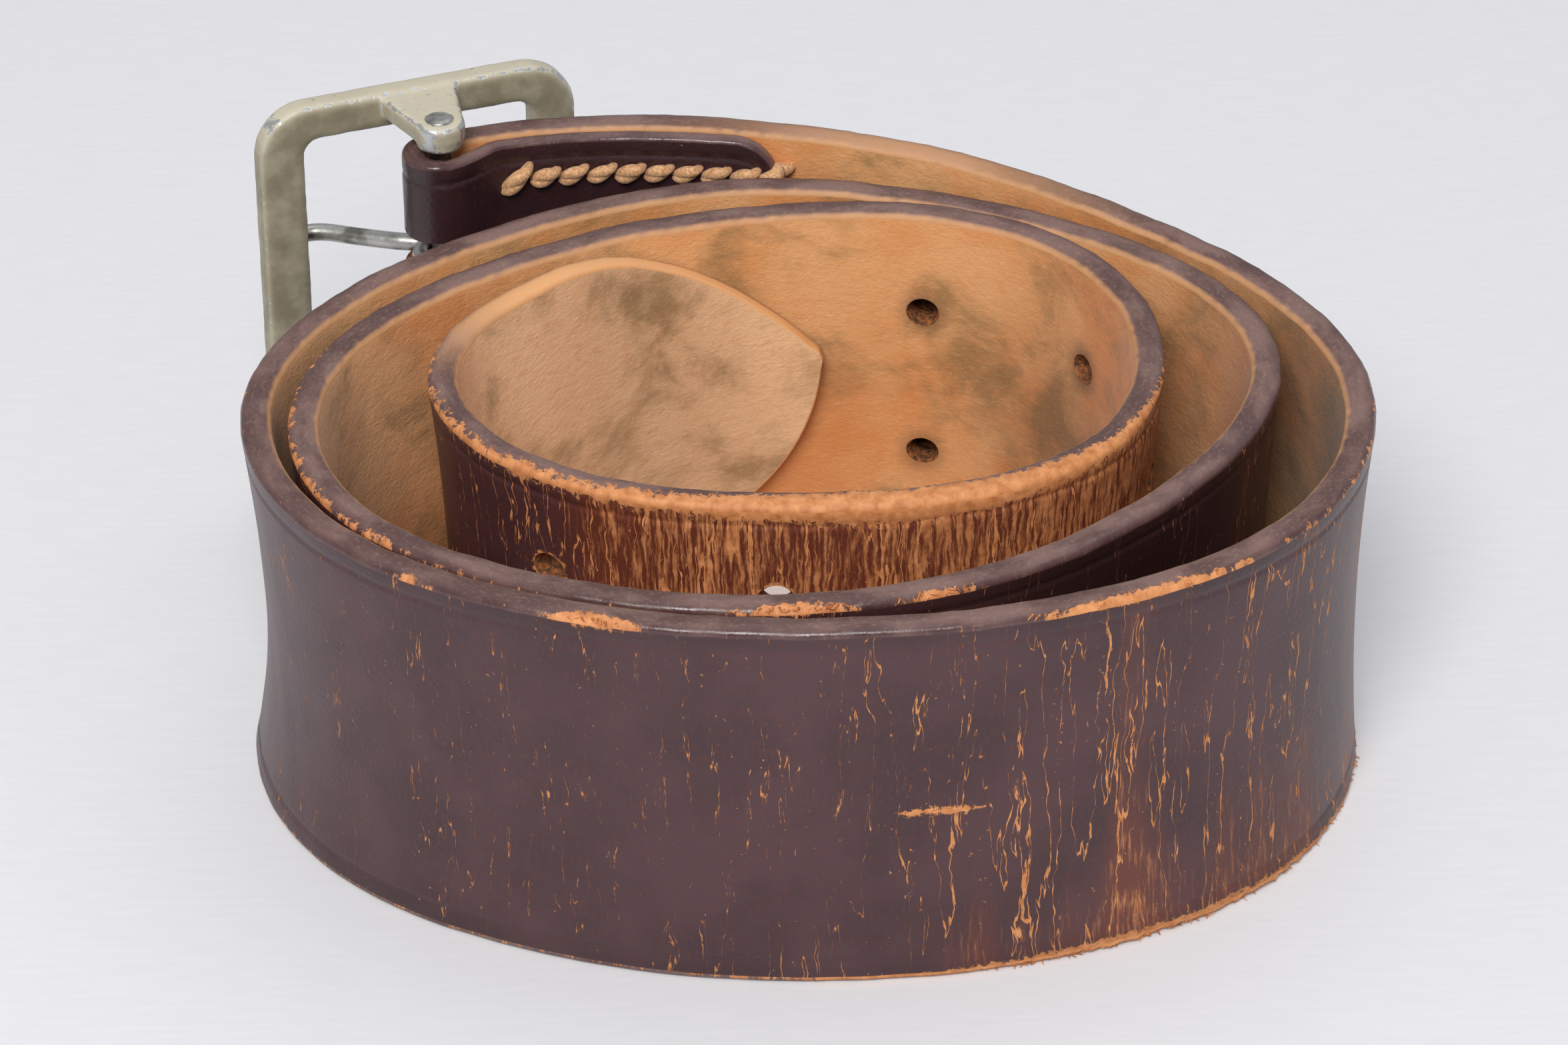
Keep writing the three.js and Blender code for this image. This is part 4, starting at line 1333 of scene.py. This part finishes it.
class BELT_PG_leather(bpy.types.PropertyGroup):
    """Sizes and colours of the strap."""

    pitch: bpy.props.FloatProperty(
        name="Pitch", description="Distance between the mesh's rings along the strap",
        default=0.00115, min=0.0003, max=0.01, unit="LENGTH", subtype="DISTANCE",
    )
    grain_dark: hex_property("Grain, dark", "Dyed grain at its darkest", "#3E2529")
    grain_light: hex_property("Grain, light", "Dyed grain where it is rubbed", "#4B2F33")
    grain_red: hex_property("Grain, warm", "Red brown along the hair lines", "#562B26")
    grain_worn: hex_property("Grain, worn", "Thin dye on the hardest worn stretch", "#6C3422")
    # Painted shade as well as darker tone: this colour darkens the grain in the gaps inside the coil, on
    # the flap and towards the bottom edge.
    grain_black_and_shade: hex_property("Grain, blackened", "Grain protected inside the coil", "#170D0E")
    core_deep: hex_property("Core, deep", "Undyed leather deep in a split", "#A8622F")
    core_light: hex_property("Core, light", "Undyed leather at a rubbed corner", "#D9955F")
    edge_dark: hex_property("Edge, dark", "Burnished edge", "#563C39")
    edge_light: hex_property("Edge, light", "Burnished edge where it is dry", "#7A5E57")
    edge_dust: hex_property("Edge, dust", "Pale grit in the burnished edge", "#A08875")
    flesh_orange: hex_property("Flesh, orange", "Warm stretches of the flesh side", "#D2874C")
    flesh_tan: hex_property("Flesh, tan", "Pale stretches of the flesh side", "#DDA36D")
    flesh_pale: hex_property("Flesh, pale", "Loose fibre and the rubbed point", "#EFC59A")
    flesh_olive: hex_property("Flesh, olive", "Smudges", "#8F6E44")
    # Grime, and painted shade in the gap at the right of the outer turn.
    flesh_grime_and_shade: hex_property("Flesh, grime", "Dirt round the holes and at the edge", "#3B2A1B")


class BELT_PG_thread(bpy.types.PropertyGroup):
    """Colours of the sewing cord."""

    thread_dark: hex_property("Thread, dark", "Between the fibres", "#B07C4F")
    thread_light: hex_property("Thread, light", "On top of the stitches", "#E8B98A")
    thread_grime: hex_property("Thread, grime", "Where it is handled", "#93633F")


class BELT_PG_metal(bpy.types.PropertyGroup):
    """Colours of the buckle."""

    lacquer_dark: hex_property("Lacquer, dark", "Olive lacquer", "#827A64")
    lacquer_light: hex_property("Lacquer, light", "Olive lacquer, sun side", "#9C957F")
    # Painted highlight as well as fading: this colour lightens the upward faces of the top bar and upper
    # lug, and the edges.
    lacquer_faded_and_lit: hex_property("Lacquer, faded", "Lacquer on the upward faces", "#CAC2AC")
    bare_zinc: hex_property("Bare zinc", "Where the lacquer is gone", "#C4C6C4")
    steel_light: hex_property("Steel, light", "Bright wire", "#C2C1BC")
    steel_dark: hex_property("Steel, dark", "Stained wire", "#84807A")


class BELT_PG_stage(bpy.types.PropertyGroup):
    """Board, light and camera."""

    board_dark: hex_property("Board, dark", "Between the brushed lines", "#DBDBDE")
    board_light: hex_property("Board, light", "Board", "#DEDEE1")
    sky: hex_property("Room", "Colour of the light from all round", "#F7F9FF")
    sky_strength: bpy.props.FloatProperty(
        name="Room strength", description="Light from all round", default=0.46, min=0.0,
    )
    key_power: bpy.props.FloatProperty(
        name="Softbox", description="Power of the softbox", default=24.0, min=0.0, unit="POWER",
    )
    fill_power: bpy.props.FloatProperty(
        name="Overhead", description="Power of the overhead light", default=3.5, min=0.0,
        unit="POWER",
    )
    lens: bpy.props.FloatProperty(
        name="Lens", description="Focal length in millimetres", default=105.3, min=10.0,
    )
    camera_pitch: bpy.props.FloatProperty(
        name="Pitch", description="How far the camera looks down", default=math.radians(33.49),
        unit="ROTATION", subtype="ANGLE",
    )
    camera_roll: bpy.props.FloatProperty(
        name="Roll", description="The camera's lean", default=math.radians(-1.107),
        unit="ROTATION", subtype="ANGLE",
    )
    camera_place: bpy.props.FloatVectorProperty(
        name="Place", description="The camera's place", default=(-0.001044, -0.476876, 0.340166),
        unit="LENGTH", subtype="TRANSLATION",
    )


class BELT_OT_strap(bpy.types.Operator):
    """Build the strap with its worn surface, holes and slots"""

    bl_idname = "belt.strap"
    bl_label = "Strap"

    def execute(self, context):
        build_strap(context.scene.belt_leather)
        return {"FINISHED"}


class BELT_OT_seams(bpy.types.Operator):
    """Sew the flap down with two seams"""

    bl_idname = "belt.seams"
    bl_label = "Seams"

    def execute(self, context):
        material = waxed_thread(context.scene.belt_thread)
        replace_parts(build_seam("stitches_upper", 1, material), "seam_upper")
        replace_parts(build_seam("stitches_lower", -1, material), "seam_lower")
        return {"FINISHED"}


class BELT_OT_fibres(bpy.types.Operator):
    """Fray the knocked edges"""

    bl_idname = "belt.fibres"
    bl_label = "Frayed fibres"

    def execute(self, context):
        build_fibres(context.scene.belt_leather)
        return {"FINISHED"}


class BELT_OT_buckle(bpy.types.Operator):
    """Cast the buckle's frame and fit its bar"""

    bl_idname = "belt.buckle"
    bl_label = "Buckle"

    def execute(self, context):
        settings = context.scene.belt_metal
        build_frame(settings)
        build_bar(settings, drawn_wire(settings))
        return {"FINISHED"}


class BELT_OT_prongs(bpy.types.Operator):
    """Bend the two wire prongs round the bar"""

    bl_idname = "belt.prongs"
    bl_label = "Prongs"

    def execute(self, context):
        material = drawn_wire(context.scene.belt_metal)
        build_prong("wire_prong_upper", PRONG_ROW - PRONG_SLIDE, material, "upper_prong", "prong_upper")
        build_prong("wire_prong_lower", -PRONG_ROW - PRONG_SLIDE, material, "lower_prong", "prong_lower")
        return {"FINISHED"}


class BELT_OT_stage(bpy.types.Operator):
    """Set the board, the lights and the camera"""

    bl_idname = "belt.stage"
    bl_label = "Stage"

    def execute(self, context):
        build_stage(context.scene.belt_stage)
        return {"FINISHED"}


class BELT_PT_panel(bpy.types.Panel):
    """Lists the belt's pieces and their settings"""

    bl_idname = "BELT_PT_panel"
    bl_label = "Belt"
    bl_space_type = "VIEW_3D"
    bl_region_type = "UI"
    bl_category = "Belt"

    def draw(self, context):
        layout = self.layout
        for settings, operators in (
            (context.scene.belt_leather, (BELT_OT_strap, BELT_OT_fibres)),
            (context.scene.belt_thread, (BELT_OT_seams,)),
            (context.scene.belt_metal, (BELT_OT_buckle, BELT_OT_prongs)),
            (context.scene.belt_stage, (BELT_OT_stage,)),
        ):
            column = layout.box().column()
            for name in settings.__annotations__:
                column.prop(settings, name)
            for operator in operators:
                column.operator(operator.bl_idname)


CLASSES = (
    BELT_PG_leather, BELT_PG_thread, BELT_PG_metal, BELT_PG_stage, BELT_OT_strap, BELT_OT_seams,
    BELT_OT_fibres, BELT_OT_buckle, BELT_OT_prongs, BELT_OT_stage, BELT_PT_panel,
)


def register():
    for cls in CLASSES:
        bpy.utils.register_class(cls)
    bpy.types.Scene.belt_leather = bpy.props.PointerProperty(type=BELT_PG_leather)
    bpy.types.Scene.belt_thread = bpy.props.PointerProperty(type=BELT_PG_thread)
    bpy.types.Scene.belt_metal = bpy.props.PointerProperty(type=BELT_PG_metal)
    bpy.types.Scene.belt_stage = bpy.props.PointerProperty(type=BELT_PG_stage)


def unregister():
    for name in ("belt_leather", "belt_thread", "belt_metal", "belt_stage"):
        delattr(bpy.types.Scene, name)
    for cls in reversed(CLASSES):
        bpy.utils.unregister_class(cls)


def main():
    register()
    bpy.ops.belt.strap()
    bpy.ops.belt.fibres()
    bpy.ops.belt.seams()
    bpy.ops.belt.buckle()
    bpy.ops.belt.prongs()
    bpy.ops.belt.stage()


if __name__ == "__main__":
    main()
